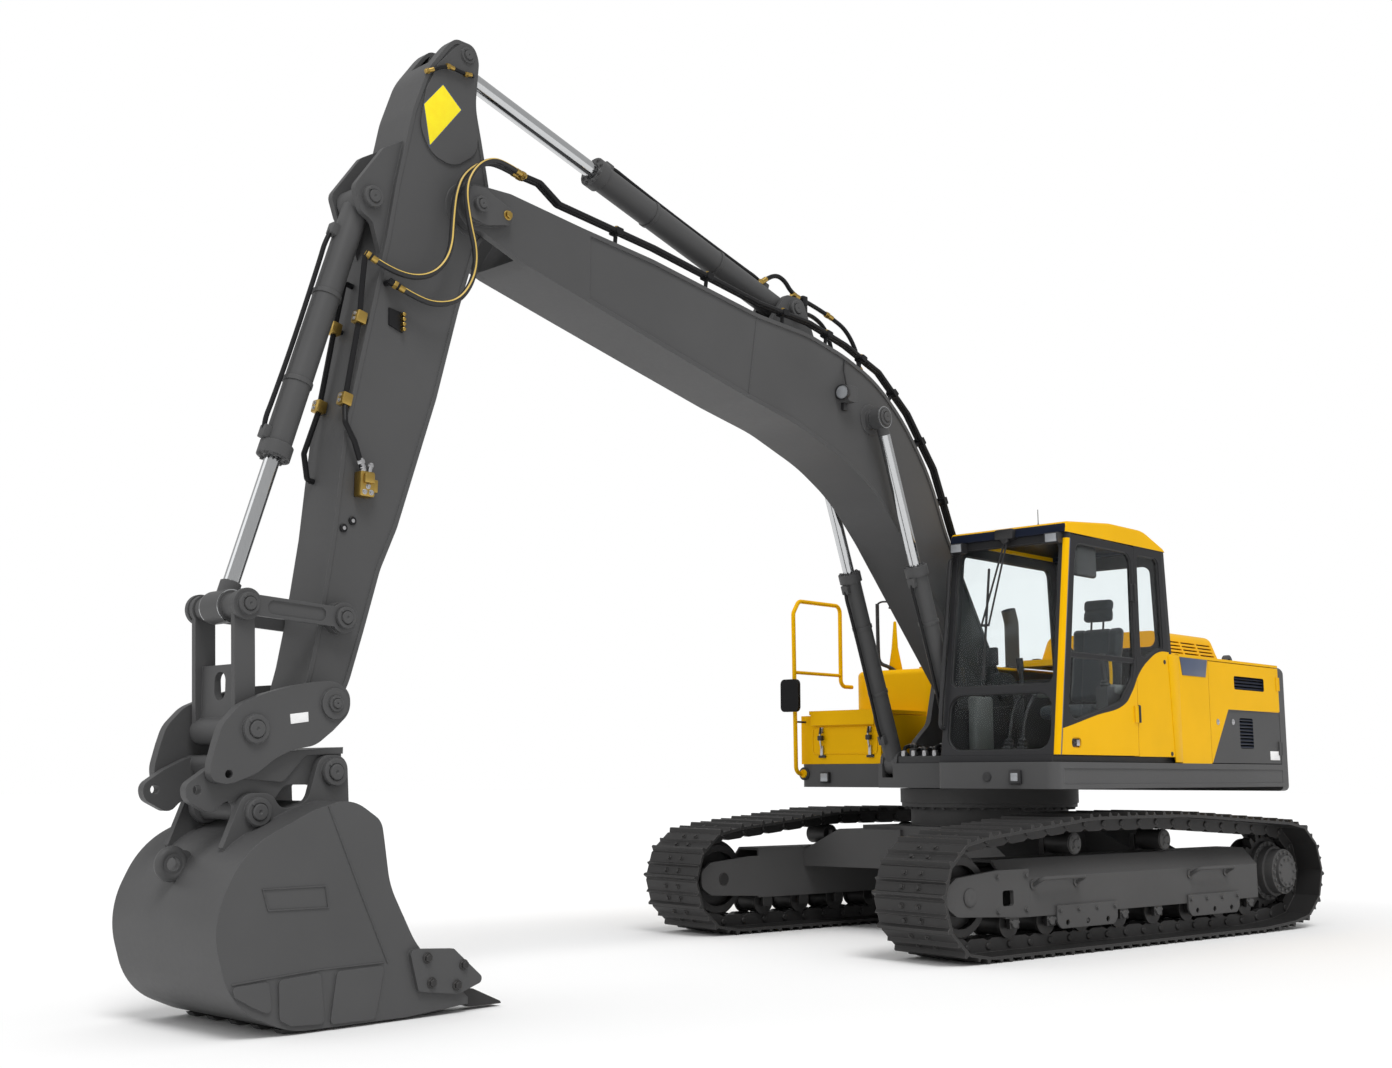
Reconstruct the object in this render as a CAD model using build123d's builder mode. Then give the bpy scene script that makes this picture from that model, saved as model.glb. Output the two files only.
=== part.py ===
"""Crawler excavator, 22 tonne class, as separate subcomponents. All lengths in millimetres.

Frame: origin on the ground under the swing axis, +X forward along the boom, +Y to the cab
side, +Z up. The undercarriage is drawn square to the frame and turned by TRACK_YAW at export.
"""
import math
import os

from build123d import *

os.makedirs("parts", exist_ok=True)

# Undercarriage
TRACK_YAW = -7.2
HALF_GAUGE = 1195
SHOE_WIDTH = 600
SHOE_COUNT = 46
GROUSER = 36
IDLER = (1830, 400)
SPROCKET = (-1830, 430)
TRACK_END_RADIUS = 400
CARRIER_X = (650, -400)
CARRIER_TOP = 915
CHAIN_DEPTH = 95
ROLLER_X = (1390, 1010, 630, 210, -190, -610, -1010, -1370)
ROLLER_Z = 213
ROLLER_R = 80
FRAME_TOP = 620
FRAME_BOTTOM = 250

# Upper structure
DECK_BOTTOM = 1075
DECK_TOP = 1255
SIDE_Y = 1346
CAB_RIGHT = 395
CAB_FRONT = 1225
CAB_LEAN = 0.145
CAB_BACK = -520
ROOF_BOTTOM = 2830
ROOF_TOP = 2950
DOOR_REAR = 103
PANEL_TOP = 2070
TAIL_RADIUS = 2850
TAIL_X = -2330

# Pins in the boom's plane, as X and Z
BOOM_FOOT = (200, 1800)
ARM_PIVOT = (5330, 4292)
BOOM_CYL_BASE = (800, 1250)
BOOM_CYL_EYE = (1720, 3676)
BOOM_CYL_Y = 300
ARM_CYL_BASE = (2450, 4350)
ARM_CYL_EYE = (5360, 5190)
BUCKET_CYL_BASE = (5950, 4200)
GUIDE_PIVOT = (6096, 1941)
LINK_PIN = (6640, 1970)
COUPLER_LINK = (6609, 1378)
ARM_TIP = (6180, 1510)
BUCKET_FRONT_PIN = (6162, 1180)
BUCKET_REAR_PIN = (6573, 995)

# Lifting eyes on the bucket's back and on the counterweight
LIFT_EYE = (6845, 758)
LIFT_EYE_R = 32
TAIL_EYE = (-2560, 2130)
TAIL_EYE_Y = 800
TAIL_EYE_R = 38

BOOM_HALF = 215
ARM_HALF = 155
BUCKET_HALF = 480
FIT = 0.05

BOOM_LINE = [
    (85, 1860), (791, 2947), (1004, 3386), (1314, 3740), (1643, 3977), (2009, 4095),
    (2403, 4172), (2932, 4196), (3921, 4331), (4542, 4383), (4790, 4409), (5000, 4072),
    (4938, 4049), (4386, 3919), (3755, 3772), (3027, 3605), (2540, 3510), (2027, 3340),
    (1667, 3149), (1368, 2869), (288, 1704),
]
BOOM_FORK = [
    (4450, 3934), (4450, 4374), (5070, 4438), (5350, 4425), (5445, 4370), (5460, 4250),
    (5390, 4165), (5270, 4165), (4938, 4049),
]
PIN_KEEPER = [(5435, 4330), (5385, 4205), (5270, 4190), (5095, 4235), (5080, 4300), (5115, 4330),
              (5290, 4400), (5385, 4395)]
ARM_LINE = [
    (5441, 5268), (5310, 5268), (5270, 5190), (5290, 4909), (5242, 4717), (5205, 4560),
    (5170, 4400), (5165, 4292), (5190, 4180), (5262, 4080), (5376, 3700), (5513, 3171),
    (5745, 2441), (5843, 2212), (5934, 1887), (6013, 1620), (6071, 1510), (6103, 1433),
    (6180, 1401), (6257, 1433), (6289, 1510), (6240, 1700), (6196, 1940), (6136, 2368),
    (6088, 2902), (5862, 4000), (5815, 4300), (5720, 4760), (5630, 5020), (5490, 5220),
]
ARM_DOUBLER = [(5400, 5262), (5300, 5225), (5300, 4920), (5262, 4640), (5440, 4505), (5600, 4545),
               (5672, 4680), (5640, 4900), (5560, 5080)]

# Hoses from the boom's pipes to the arm, by the points of their routes
HOSE_RADIUS = 16
HOSE_INNER = [(5000, 184, 4577), (5130, 192, 4596), (5265, 205, 4576), (5427, 238, 4446),
              (5479, 240, 4322), (5495, 240, 4178), (5503, 240, 3978), (5588, 236, 3845),
              (5722, 225, 3783), (5875, 198, 3803), (5960, 165, 3855)]
HOSE_OUTER = [(5000, 218, 4577), (5135, 232, 4600), (5265, 262, 4574), (5385, 285, 4484),
              (5455, 290, 4345), (5424, 290, 4165), (5362, 286, 3985), (5378, 278, 3835),
              (5462, 264, 3705), (5600, 246, 3660), (5720, 228, 3678), (5812, 205, 3720)]


def side(y):
    """Sketch plane at the given y whose own axes are X and Z."""
    return Plane(origin=(0, y, 0), x_dir=(1, 0, 0), z_dir=(0, -1, 0))


def bend_radii(points, most, sharp=()):
    """Radius for each corner of a closed outline, at most the given one; sharp corners get none."""
    radii = []
    for i, corner in enumerate(points):
        before, after = points[i - 1], points[(i + 1) % len(points)]
        heading = math.atan2(corner[1] - before[1], corner[0] - before[0])
        turn = math.atan2(after[1] - corner[1], after[0] - corner[0]) - heading
        turn = abs(math.remainder(turn, 2 * math.pi))
        run = min(math.dist(before, corner), math.dist(corner, after))
        flat = i in sharp or turn < 0.01
        radii.append(0 if flat else min(most, 0.45 * run / math.tan(turn / 2)))
    return radii


def closed(points, most, sharp=()):
    """Closed line through the points, with corners rounded where a radius is given."""
    if most:
        FilletPolyline(*points, radius=bend_radii(points, most, sharp), close=True)
    else:
        Polyline(*points, close=True)


def plate(points, y0, y1, mode=Mode.ADD, most=0, sharp=()):
    """Profile in X and Z, pushed from y0 to y1 in either direction."""
    y0, y1 = sorted((y0, y1))
    with BuildSketch(side(y0)) as outline:
        with BuildLine():
            closed(points, most, sharp)
        make_face()
    extrude(outline.sketch, amount=y1 - y0, dir=(0, 1, 0), mode=mode)


def ring(outer, inner, y0, y1):
    """Closed band in X and Z between two outlines, pushed from y0 to y1."""
    with BuildSketch(side(y0)) as band:
        with BuildLine():
            Polyline(*outer, close=True)
        make_face()
        with BuildLine():
            Polyline(*inner, close=True)
        make_face(mode=Mode.SUBTRACT)
    extrude(band.sketch, amount=y1 - y0, dir=(0, 1, 0))


def core(points, thickness, y0, y1, most):
    """Hollow left inside a profile in X and Z by walls of the given thickness."""
    turns = zip(points, points[1:] + points[:1])
    area = sum(a[0] * b[1] - b[0] * a[1] for a, b in turns)
    inside = stand_off(points, math.copysign(thickness, area), loop=True)
    plate(inside, y0, y1, Mode.SUBTRACT, most)


def layer(points, z0, z1, mode=Mode.ADD, most=0, sharp=()):
    """Outline in X and Y, pushed from z0 to z1."""
    with BuildSketch(Plane.XY.offset(z0)) as outline:
        with BuildLine():
            closed(points, most, sharp)
        make_face()
    extrude(outline.sketch, amount=z1 - z0, dir=(0, 0, 1), mode=mode)


def section(points, x0, x1, mode=Mode.ADD, most=0, sharp=()):
    """Outline in Y and Z, pushed from x0 to x1."""
    with BuildSketch(Plane(origin=(x0, 0, 0), x_dir=(0, 1, 0), z_dir=(1, 0, 0))) as outline:
        with BuildLine():
            closed(points, most, sharp)
        make_face()
    extrude(outline.sketch, amount=x1 - x0, dir=(1, 0, 0), mode=mode)


def block(x0, x1, y0, y1, z0, z1, mode=Mode.ADD):
    """Plain box between six planes."""
    layer([(x0, y0), (x1, y0), (x1, y1), (x0, y1)], z0, z1, mode)


def rod(start, end, radius, mode=Mode.ADD):
    """Round bar between two points."""
    along = Vector(*end) - Vector(*start)
    with BuildSketch(Plane(origin=start, z_dir=along)) as ring:
        Circle(radius)
    extrude(ring.sketch, amount=along.length, dir=along.normalized(), mode=mode)


def pin(at, radius, y0, y1, mode=Mode.ADD):
    """Round bar across the machine at a point given as X and Z."""
    rod((at[0], y0, at[1]), (at[0], y1, at[1]), radius, mode)


def tube(points, radius, bend):
    """Round bar along straight runs joined by bends of the given radius, or one radius each."""
    with BuildLine() as route:
        FilletPolyline(*points, radius=bend)
    with BuildSketch(Plane(origin=route.line @ 0, z_dir=route.line % 0)) as bar:
        Circle(radius)
    sweep(bar.sketch, path=route.line)
    return route.wires()[0].length


def route_radii(points):
    """Radius for each bend of an open route in space, from its shorter run and its turn."""
    radii = []
    for a, b, c in zip(points, points[1:], points[2:]):
        into, out = Vector(*b) - Vector(*a), Vector(*c) - Vector(*b)
        turn = math.radians(into.get_angle(out))
        radii.append(0.45 * min(into.length, out.length) / math.tan(turn / 2))
    return radii


def ahead(route, distance):
    """Point past the end of a route, on its last run."""
    last = (Vector(*route[-1]) - Vector(*route[-2])).normalized()
    return tuple(Vector(*route[-1]) + last * distance)


def stand_off(points, distance, loop=False):
    """Polyline in X and Z moved square to itself, to the left of its run."""
    out = []
    last = len(points) - 1
    for i, (x, z) in enumerate(points):
        before, after = points[i - 1], points[(i + 1) % len(points)]
        into = math.atan2(z - before[1], x - before[0])
        away = math.atan2(after[1] - z, after[0] - x)
        if not loop and i == 0:
            into = away
        if not loop and i == last:
            away = into
        half = math.remainder(away - into, 2 * math.pi) / 2
        reach = distance / math.cos(half)
        out.append((x - reach * math.sin(into + half), z + reach * math.cos(into + half)))
    return out


def along(base, eye, distance, y=0):
    """Point at a distance from the base pin on the line to the eye pin."""
    length = math.dist(base, eye)
    x = base[0] + (eye[0] - base[0]) * distance / length
    z = base[1] + (eye[1] - base[1]) * distance / length
    return (x, y, z)


def barrel(base, eye, y, radius, bore, head, eye_radius, half_eye, pin_radius):
    """Cylinder barrel with its base eye and head flange; the rod's bore stays open at the head."""
    rod(along(base, eye, 40, y), along(base, eye, head, y), radius)
    rod(along(base, eye, head - 70, y), along(base, eye, head, y), radius + 14)
    pin(base, eye_radius, y - half_eye, y + half_eye)
    rod(along(base, eye, eye_radius + 20, y), along(base, eye, head + 1, y), bore, Mode.SUBTRACT)
    pin(base, pin_radius + FIT, y - half_eye - 1, y + half_eye + 1, Mode.SUBTRACT)


def piston_rod(base, eye, y, radius, start, eye_radius, half_eye, pin_radius, half_pin):
    """Rod from its hidden inner end to the eye, which carries its own pin."""
    length = math.dist(base, eye)
    rod(along(base, eye, start, y), along(base, eye, length - 30, y), radius)
    neck = min(radius * 1.25, half_eye - 2)
    rod(along(base, eye, length - eye_radius - 45, y), along(base, eye, length, y), neck)
    pin(eye, eye_radius, y - half_eye, y + half_eye)
    pin(eye, pin_radius, y - half_pin, y + half_pin)


def save(part, name):
    part.label = name
    export_step(part, f"parts/{name}.step")


def save_under(part, name):
    """Write an undercarriage piece, turned with the tracks."""
    save(part.rotate(Axis.Z, TRACK_YAW), name)


def hull(points):
    """Convex outline of points, counter-clockwise."""
    points = sorted(set(points))
    chains = []
    for run in (points, points[::-1]):
        chain = []
        for p in run:
            while len(chain) > 1:
                (ax, az), (bx, bz) = chain[-2], chain[-1]
                if (bx - ax) * (p[1] - az) - (bz - az) * (p[0] - ax) > 1e-9:
                    break
                chain.pop()
            chain.append(p)
        chains.append(chain[:-1])
    return chains[0] + chains[1]


def track_vertices():
    """Hinge points of the shoe loop, evenly spaced along the belt."""
    reach = TRACK_END_RADIUS - GROUSER
    wheels = [(*IDLER, reach), (*SPROCKET, reach)]
    wheels += [(x, CARRIER_TOP - GROUSER - 200, 200) for x in CARRIER_X]
    wheels += [(x, GROUSER + 100, 100) for x in (ROLLER_X[0], ROLLER_X[-1])]
    dots = []
    for x, z, r in wheels:
        for step in range(720):
            a = math.radians(step / 2)
            dots.append((round(x + r * math.cos(a), 4), round(z + r * math.sin(a), 4)))
    loop = hull(dots)
    loop.append(loop[0])
    lengths = [math.dist(loop[i], loop[i + 1]) for i in range(len(loop) - 1)]
    pitch = sum(lengths) / SHOE_COUNT
    out = []
    goal = 0.0
    done = 0.0
    for i, length in enumerate(lengths):
        while len(out) < SHOE_COUNT and goal <= done + length:
            t = (goal - done) / length
            a, b = loop[i], loop[i + 1]
            out.append((a[0] + (b[0] - a[0]) * t, a[1] + (b[1] - a[1]) * t))
            goal += pitch
        done += length
    return out


def along_shoes(vertices, profile):
    """Closed outline that repeats a profile of (share of pitch, height) on every shoe."""
    out = []
    for i, a in enumerate(vertices):
        b = vertices[(i + 1) % len(vertices)]
        length = math.dist(a, b)
        tx, tz = (b[0] - a[0]) / length, (b[1] - a[1]) / length
        for share, height in profile:
            out.append((a[0] + tx * length * share + tz * height,
                        a[1] + tz * length * share - tx * height))
    return out


SHOE_PROFILE = [(0.0, 2), (0.05, GROUSER), (0.12, GROUSER), (0.19, 11), (0.46, 11), (0.53, 33),
                (0.61, 11), (0.94, 11)]
LINK_PROFILE = [(0.0, -78), (0.2, -CHAIN_DEPTH), (0.8, -CHAIN_DEPTH)]

# Undercarriage pieces, left side first
shoes = track_vertices()
for name, y in (("left", HALF_GAUGE), ("right", -HALF_GAUGE)):
    with BuildPart() as track:
        ring(along_shoes(shoes, SHOE_PROFILE), along_shoes(shoes, [(0.0, -8)]),
             y - SHOE_WIDTH / 2, y + SHOE_WIDTH / 2)
        for y0 in (y - 95, y + 45):
            ring(along_shoes(shoes, [(0.0, -4)]), along_shoes(shoes, LINK_PROFILE), y0, y0 + 50)
    save_under(track.part, f"track_{name}")

IDLER_GUARD = [(1240, 250), (1950, 285), (2045, 345), (2045, 465), (1955, 525), (1560, 560),
               (1240, 560)]
SPROCKET_CASE = [(-1400, 250), (-1700, 280), (-1960, 330), (-2040, 430), (-1960, 540),
                 (-1700, 610), (-1400, 615)]
for name, s in (("left", 1), ("right", -1)):
    inner, outer = s * (HALF_GAUGE - 170), s * (HALF_GAUGE + 170)
    ridge = s * (HALF_GAUGE + 60)
    with BuildPart() as frame:
        section([(inner, FRAME_BOTTOM), (outer, FRAME_BOTTOM), (outer, 500), (ridge, FRAME_TOP),
                 (inner, FRAME_TOP)], -1480, 1480)
        section([(inner + s * 20, FRAME_BOTTOM - 1), (outer - s * 20, FRAME_BOTTOM - 1),
                 (outer - s * 20, 485), (ridge - s * 6, FRAME_TOP - 20),
                 (inner + s * 20, FRAME_TOP - 20)], -1481, 1481, Mode.SUBTRACT)
        # Guards outside the idler, the case round the final drive, guards below the rollers
        plate(IDLER_GUARD, inner, inner + s * 25, most=70, sharp=(0, 6))
        plate(IDLER_GUARD, outer - s * 25, outer + s * 6, most=70, sharp=(0, 6))
        plate(SPROCKET_CASE, inner, inner + s * 25, most=160, sharp=(0, 6))
        for x in (-870, 640):
            plate([(x - 330, 310), (x - 330, 200), (x - 290, 158), (x + 290, 158), (x + 330, 200),
                   (x + 330, 310)], outer, outer + s * 16, most=40, sharp=(0, 5))
        pin(SPROCKET, 240, *sorted((inner, inner + s * 25)))
        pin(SPROCKET, 171, *sorted((inner - s, inner + s * 26)), Mode.SUBTRACT)
        for y in (inner, outer - s * 25):
            pin(IDLER, 45.5, *sorted((y - s, y + s * 32)), Mode.SUBTRACT)
        # Grease window, and the holes of the roller guards
        window = [(1400, 330), (1510, 330), (1510, 430), (1400, 430)]
        plate(window, outer - s * 26, outer + s * 7, Mode.SUBTRACT, most=18)
        for x in (-1090, -870, -650, 420, 640, 860):
            pin((x, 195), 20, *sorted((outer - s, outer + s * 17)), Mode.SUBTRACT)
    save_under(frame.part, f"track_frame_{name}")

with BuildPart() as idlers:
    for y in (HALF_GAUGE, -HALF_GAUGE):
        pin(IDLER, 250, y - 100, y + 100)
        pin(IDLER, 290, y - 38, y + 38)
        for y0 in (y - 101, y + 50):
            pin(IDLER, 200, y0, y0 + 51, Mode.SUBTRACT)
        pin(IDLER, 95, y - 130, y + 130)
        pin(IDLER, 45, y - 175, y + 175)
save_under(idlers.part, "idlers")

with BuildPart() as sprockets:
    teeth = []
    for i in range(21):
        for turn, radius in ((-0.32, 258), (-0.12, 318), (0.12, 318), (0.32, 258)):
            a = 2 * math.pi * (i + turn) / 21
            teeth.append((SPROCKET[0] + radius * math.cos(a), SPROCKET[1] + radius * math.sin(a)))
    for y in (HALF_GAUGE, -HALF_GAUGE):
        plate(teeth, y - 34, y + 34)
        pin(SPROCKET, 190, y - 35, y + 35, Mode.SUBTRACT)
save_under(sprockets.part, "sprockets")

with BuildPart() as final_drives:
    for s in (1, -1):
        spans = ((170, -330, 60), (225, -60, -34.5), (225, 34.5, 60), (189.5, -60, 120),
                 (170, 120, 190), (120, 190, 215))
        for radius, y0, y1 in spans:
            low, high = sorted((s * (HALF_GAUGE + y0), s * (HALF_GAUGE + y1)))
            pin(SPROCKET, radius, low, high)
save_under(final_drives.part, "final_drives")

with BuildPart() as track_rollers:
    for s in (1, -1):
        y = s * HALF_GAUGE
        for x in ROLLER_X:
            pin((x, ROLLER_Z), ROLLER_R, y - 120, y + 120)
            for y0 in (y - 120, y + 100):
                pin((x, ROLLER_Z), ROLLER_R + 14, y0, y0 + 20)
            pin((x, ROLLER_Z), 30, y - 168, y + 168)
            for y0 in (y - 168, y + 138):
                block(x - 45, x + 45, y0, y0 + 30, ROLLER_Z - 30, FRAME_BOTTOM)
save_under(track_rollers.part, "track_rollers")

with BuildPart() as carriers:
    centre = CARRIER_TOP - GROUSER - CHAIN_DEPTH - 5 - 74
    for s in (1, -1):
        y = s * HALF_GAUGE
        for x in CARRIER_X:
            pin((x, centre), 74, y - 100, y + 100)
            low, high = sorted((y - s * 168, y))
            pin((x, centre), 28, low, high)
            low, high = sorted((y - s * 168, y - s * 128))
            block(x - 45, x + 45, low, high, FRAME_TOP, centre + 35)
save_under(carriers.part, "carrier_rollers")

with BuildPart() as steps:
    for s in (1, -1):
        face = s * (HALF_GAUGE + 170)
        for x0, x1 in ((739, 1195), (-1052, -588)):
            bar = [(x0, face + s * 9, 455), (x0, face + s * 85, 500), (x1, face + s * 85, 500),
                   (x1, face + s * 9, 455)]
            tube(bar, 15, 38)
            for x in (x0, x1):
                rod((x, face, 455), (x, face + s * 10, 455), 32)
save_under(steps.part, "track_steps")

with BuildPart() as carbody:
    block(-760, 760, -620, 620, 470, 790)
    for sx in (1, -1):
        for sy in (1, -1):
            layer([(sx * 250, sy * 200), (sx * 790, sy * 200), (sx * 1010, sy * 1025),
                   (sx * 480, sy * 1025)], 470, 760)
    for s in (1, -1):
        section([(s * 640, 800), (s * 1030, 590), (s * 1030, 800)], -1200, 1200, Mode.SUBTRACT)
    rod((0, 0, 780), (0, 0, 960), 600)
    rod((0, 0, 930), (0, 0, 960), 670)
    rod((0, 0, 500), (0, 0, 961), 560, Mode.SUBTRACT)
    for s in (1, -1):
        block(s * 745 - 40, s * 745 + 40, -800, 800, 540, 640, Mode.SUBTRACT)
save_under(carbody.part, "carbody")

with BuildPart() as slew_ring:
    rod((0, 0, 960), (0, 0, 1068), 680)
    rod((0, 0, 959), (0, 0, 1069), 570, Mode.SUBTRACT)
save_under(slew_ring.part, "slew_ring")

# Upper structure
with BuildPart() as deck:
    layer([(TAIL_X, SIDE_Y), (1260, SIDE_Y), (1260, CAB_RIGHT - 10), (900, CAB_RIGHT - 10),
           (900, -385), (660, -385), (660, -SIDE_Y), (TAIL_X, -SIDE_Y)], DECK_BOTTOM, DECK_TOP,
          most=70, sharp=(0, 3, 4, 5, 7))
    # Recessed band under the top plate all along the cab side
    block(TAIL_X - 1, 1150, SIDE_Y - 9, SIDE_Y + 1, DECK_BOTTOM + 30, DECK_TOP - 42, Mode.SUBTRACT)
    for x0, x1, y0, y1 in ((-2300, 1230, 420, 1320), (-2300, 630, -1320, -420)):
        block(x0, x1, y0, y1, DECK_BOTTOM - 1, DECK_TOP - 20, Mode.SUBTRACT)
    block(TAIL_X - 1, 860, -360, 360, DECK_BOTTOM + 40, DECK_TOP - 25, Mode.SUBTRACT)
    for s in (1, -1):
        low, high = sorted((s * 240, s * 282))
        plate([(-900, DECK_TOP - 5), (-500, 1500), (80, 1940), (310, 1945), (420, 1560),
               (640, 1400), (640, DECK_TOP - 5)], low, high, most=130, sharp=(0, 6))
        for y0, y1 in ((224, 250), (350, 376)):
            low, high = sorted((s * y0, s * y1))
            plate([(660, 1180), (725, 1345), (875, 1345), (899, 1180)], low, high, most=70,
                  sharp=(0, 3))
        low, high = sorted((s * 224, s * 376))
        pin(BOOM_CYL_BASE, 42, low, high)
        low, high = sorted((s * 240, s * 310))
        pin(BOOM_FOOT, 85, low, high)
    block(690, 901, 251, 349, 1150, 1400, Mode.SUBTRACT)
    block(690, 901, -349, -251, 1150, 1400, Mode.SUBTRACT)
    for s in (1, -1):
        low, high = sorted((s * 230, s * 370))
        pin(BOOM_CYL_BASE, 42, low, high)
    pin(BOOM_FOOT, 50, -260, 260)
save(deck.part, "deck")

HALF_TAIL = SIDE_Y - 8
with BuildPart() as counterweight:
    with BuildSketch(Plane.XY.offset(1040)) as tail:
        with BuildLine():
            Polyline((-2536, -1300), (-2440, -HALF_TAIL), (TAIL_X - 3, -HALF_TAIL),
                     (TAIL_X - 3, HALF_TAIL), (-2440, HALF_TAIL), (-2536, 1300))
            ThreePointArc((-2536, 1300), (-TAIL_RADIUS, 0), (-2536, -1300))
        make_face()
        fillet(tail.vertices().sort_by(Axis.X)[:2], 90)
    extrude(tail.sketch, amount=PANEL_TOP - 8 - 1040, dir=(0, 0, 1))
    rims = counterweight.edges().filter_by(lambda edge: edge.center().X < TAIL_X - 20)
    fillet(rims.group_by(Axis.Z)[-1], 55)
    rims = counterweight.edges().filter_by(lambda edge: edge.center().X < TAIL_X - 20)
    fillet(rims.group_by(Axis.Z)[0], 40)
    block(-2560, TAIL_X, -1150, 1150, 1180, 1950, Mode.SUBTRACT)
    for y in (TAIL_EYE_Y, -TAIL_EYE_Y):
        block(TAIL_EYE[0] - 70, TAIL_EYE[0] + 70, y - 20, y + 20, PANEL_TOP - 20, TAIL_EYE[1])
        pin(TAIL_EYE, 70, y - 20, y + 20)
        pin(TAIL_EYE, TAIL_EYE_R, y - 21, y + 21, Mode.SUBTRACT)
save(counterweight.part, "counterweight")

with BuildPart() as engine:
    block(-2250, -1150, -640, 560, DECK_TOP, 1950)
save(engine.part, "engine_block")

with BuildPart() as house:
    block(-1040, CAB_BACK - 40, SIDE_Y - 26, SIDE_Y, DECK_TOP, PANEL_TOP)
    block(-1040, CAB_BACK - 40, 300, SIDE_Y, PANEL_TOP - 20, PANEL_TOP)
    block(-1040, CAB_BACK - 40, 420, 440, DECK_TOP, PANEL_TOP)
    block(CAB_BACK - 60, CAB_BACK - 40, 420, SIDE_Y, DECK_TOP, PANEL_TOP)
    block(-2320, -1040, 950, SIDE_Y, PANEL_TOP - 20, PANEL_TOP)
    block(-1060, -1040, 420, SIDE_Y - 40, DECK_TOP, PANEL_TOP)
save(house.part, "left_panel")

with BuildPart() as right_house:
    block(-2320, -700, -SIDE_Y, -420, PANEL_TOP - 20, PANEL_TOP)
    block(-720, -700, -SIDE_Y + 40, -420, DECK_TOP, PANEL_TOP)
save(right_house.part, "right_panel")

with BuildPart() as tank:
    layer([(-690, -1330), (0, -1330), (0, -460), (-690, -460)], DECK_TOP, 2030, most=150,
          sharp=(0, 3))
    fillet(tank.edges().group_by(Axis.Z)[-1], 45)
    layer([(-670, -1310), (-20, -1310), (-20, -480), (-670, -480)], DECK_TOP + 20, 1980,
          Mode.SUBTRACT, most=130, sharp=(0, 3))
    rod((-500, -900, 2020), (-500, -900, 2075), 70)
    rod((-500, -900, 2075), (-500, -900, 2092), 52)
save(tank.part, "fuel_tank")

with BuildPart() as toolbox:
    block(10, 655, -1335, -540, DECK_TOP, 1640)
    block(30, 635, -1315, -560, DECK_TOP + 15, 1641, Mode.SUBTRACT)
save(toolbox.part, "toolbox")

with BuildPart() as toolbox_lid:
    layer([(30, -1240), (690, -1240), (690, -550), (30, -550)], 1646, 1676, most=30, sharp=(0, 3))
    block(640, 690, -1210, -580, 1560, 1650)
    block(600, 661, -1211, -579, 1550, 1645.5, Mode.SUBTRACT)
    layer([(110, -1160), (600, -1160), (600, -630), (110, -630)], 1667, 1677, Mode.SUBTRACT, most=40)
    for y in (-1150, -740):
        rod((22, y, 1668), (22, y + 100, 1668), 6)
        block(22, 36, y, y + 100, 1662, 1674)
save(toolbox_lid.part, "toolbox_lid")

with BuildPart() as handrail:
    tube([(660, -1322, 1180), (742, -1322, 1180), (760, -1322, 2470), (690, -1322, 2572),
          (150, -1322, 2572), (150, -1322, 1900), (0, -1322, 1900)], 17, 60)
    tube([(757, -1322, 1990), (600, -1322, 1990), (150, -1322, 1990)], 14, 0)
    # Mirror on its stem
    rod((750, -1322, 1790), (800, -1322, 1790), 12)
    section([(-1405, 1670), (-1225, 1670), (-1225, 1930), (-1405, 1930)], 795, 830, most=40)
save(handrail.part, "handrail")

with BuildPart() as hood:
    layer([(-2240, -400), (-1065, -400), (-1065, 940), (-2240, 940)], PANEL_TOP + 5,
          PANEL_TOP + 60, most=70)
    block(-2210, -1095, -370, 910, PANEL_TOP + 4, PANEL_TOP + 45, Mode.SUBTRACT)
    section([(-260, 2100), (-170, 2330), (820, 2330), (910, 2100)], -2180, -1250, most=90,
            sharp=(0, 3))
    section([(-232, 2095), (-150, 2310), (800, 2310), (882, 2095)], -2160, -1270, Mode.SUBTRACT,
            most=75, sharp=(0, 3))
    # Louvres in both flanks of the bulge
    for z in (2150, 2180, 2210, 2240):
        for x in (-2130, -1850, -1570):
            block(x, x + 250, 800, 960, z, z + 12, Mode.SUBTRACT)
            block(x, x + 250, -310, -150, z, z + 12, Mode.SUBTRACT)
    for y in (-280, 700):
        rod((-2250, y, 2085), (-2250, y + 120, 2085), 8)
        block(-2250, -2232, y, y + 120, 2078, 2092)
save(hood.part, "engine_hood")

with BuildPart() as exhaust:
    tube([(-1290, -560, PANEL_TOP), (-1290, -560, 2480), (-1245, -560, 2590)], 62, 120)
    rod((-1290, -560, PANEL_TOP), (-1290, -560, PANEL_TOP + 25), 100)
    top = Vector(45, 0, 110).normalized()
    end = Vector(-1245, -560, 2590)
    rod(tuple(end - top * 120), tuple(end + top), 54, Mode.SUBTRACT)
save(exhaust.part, "exhaust")

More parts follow.
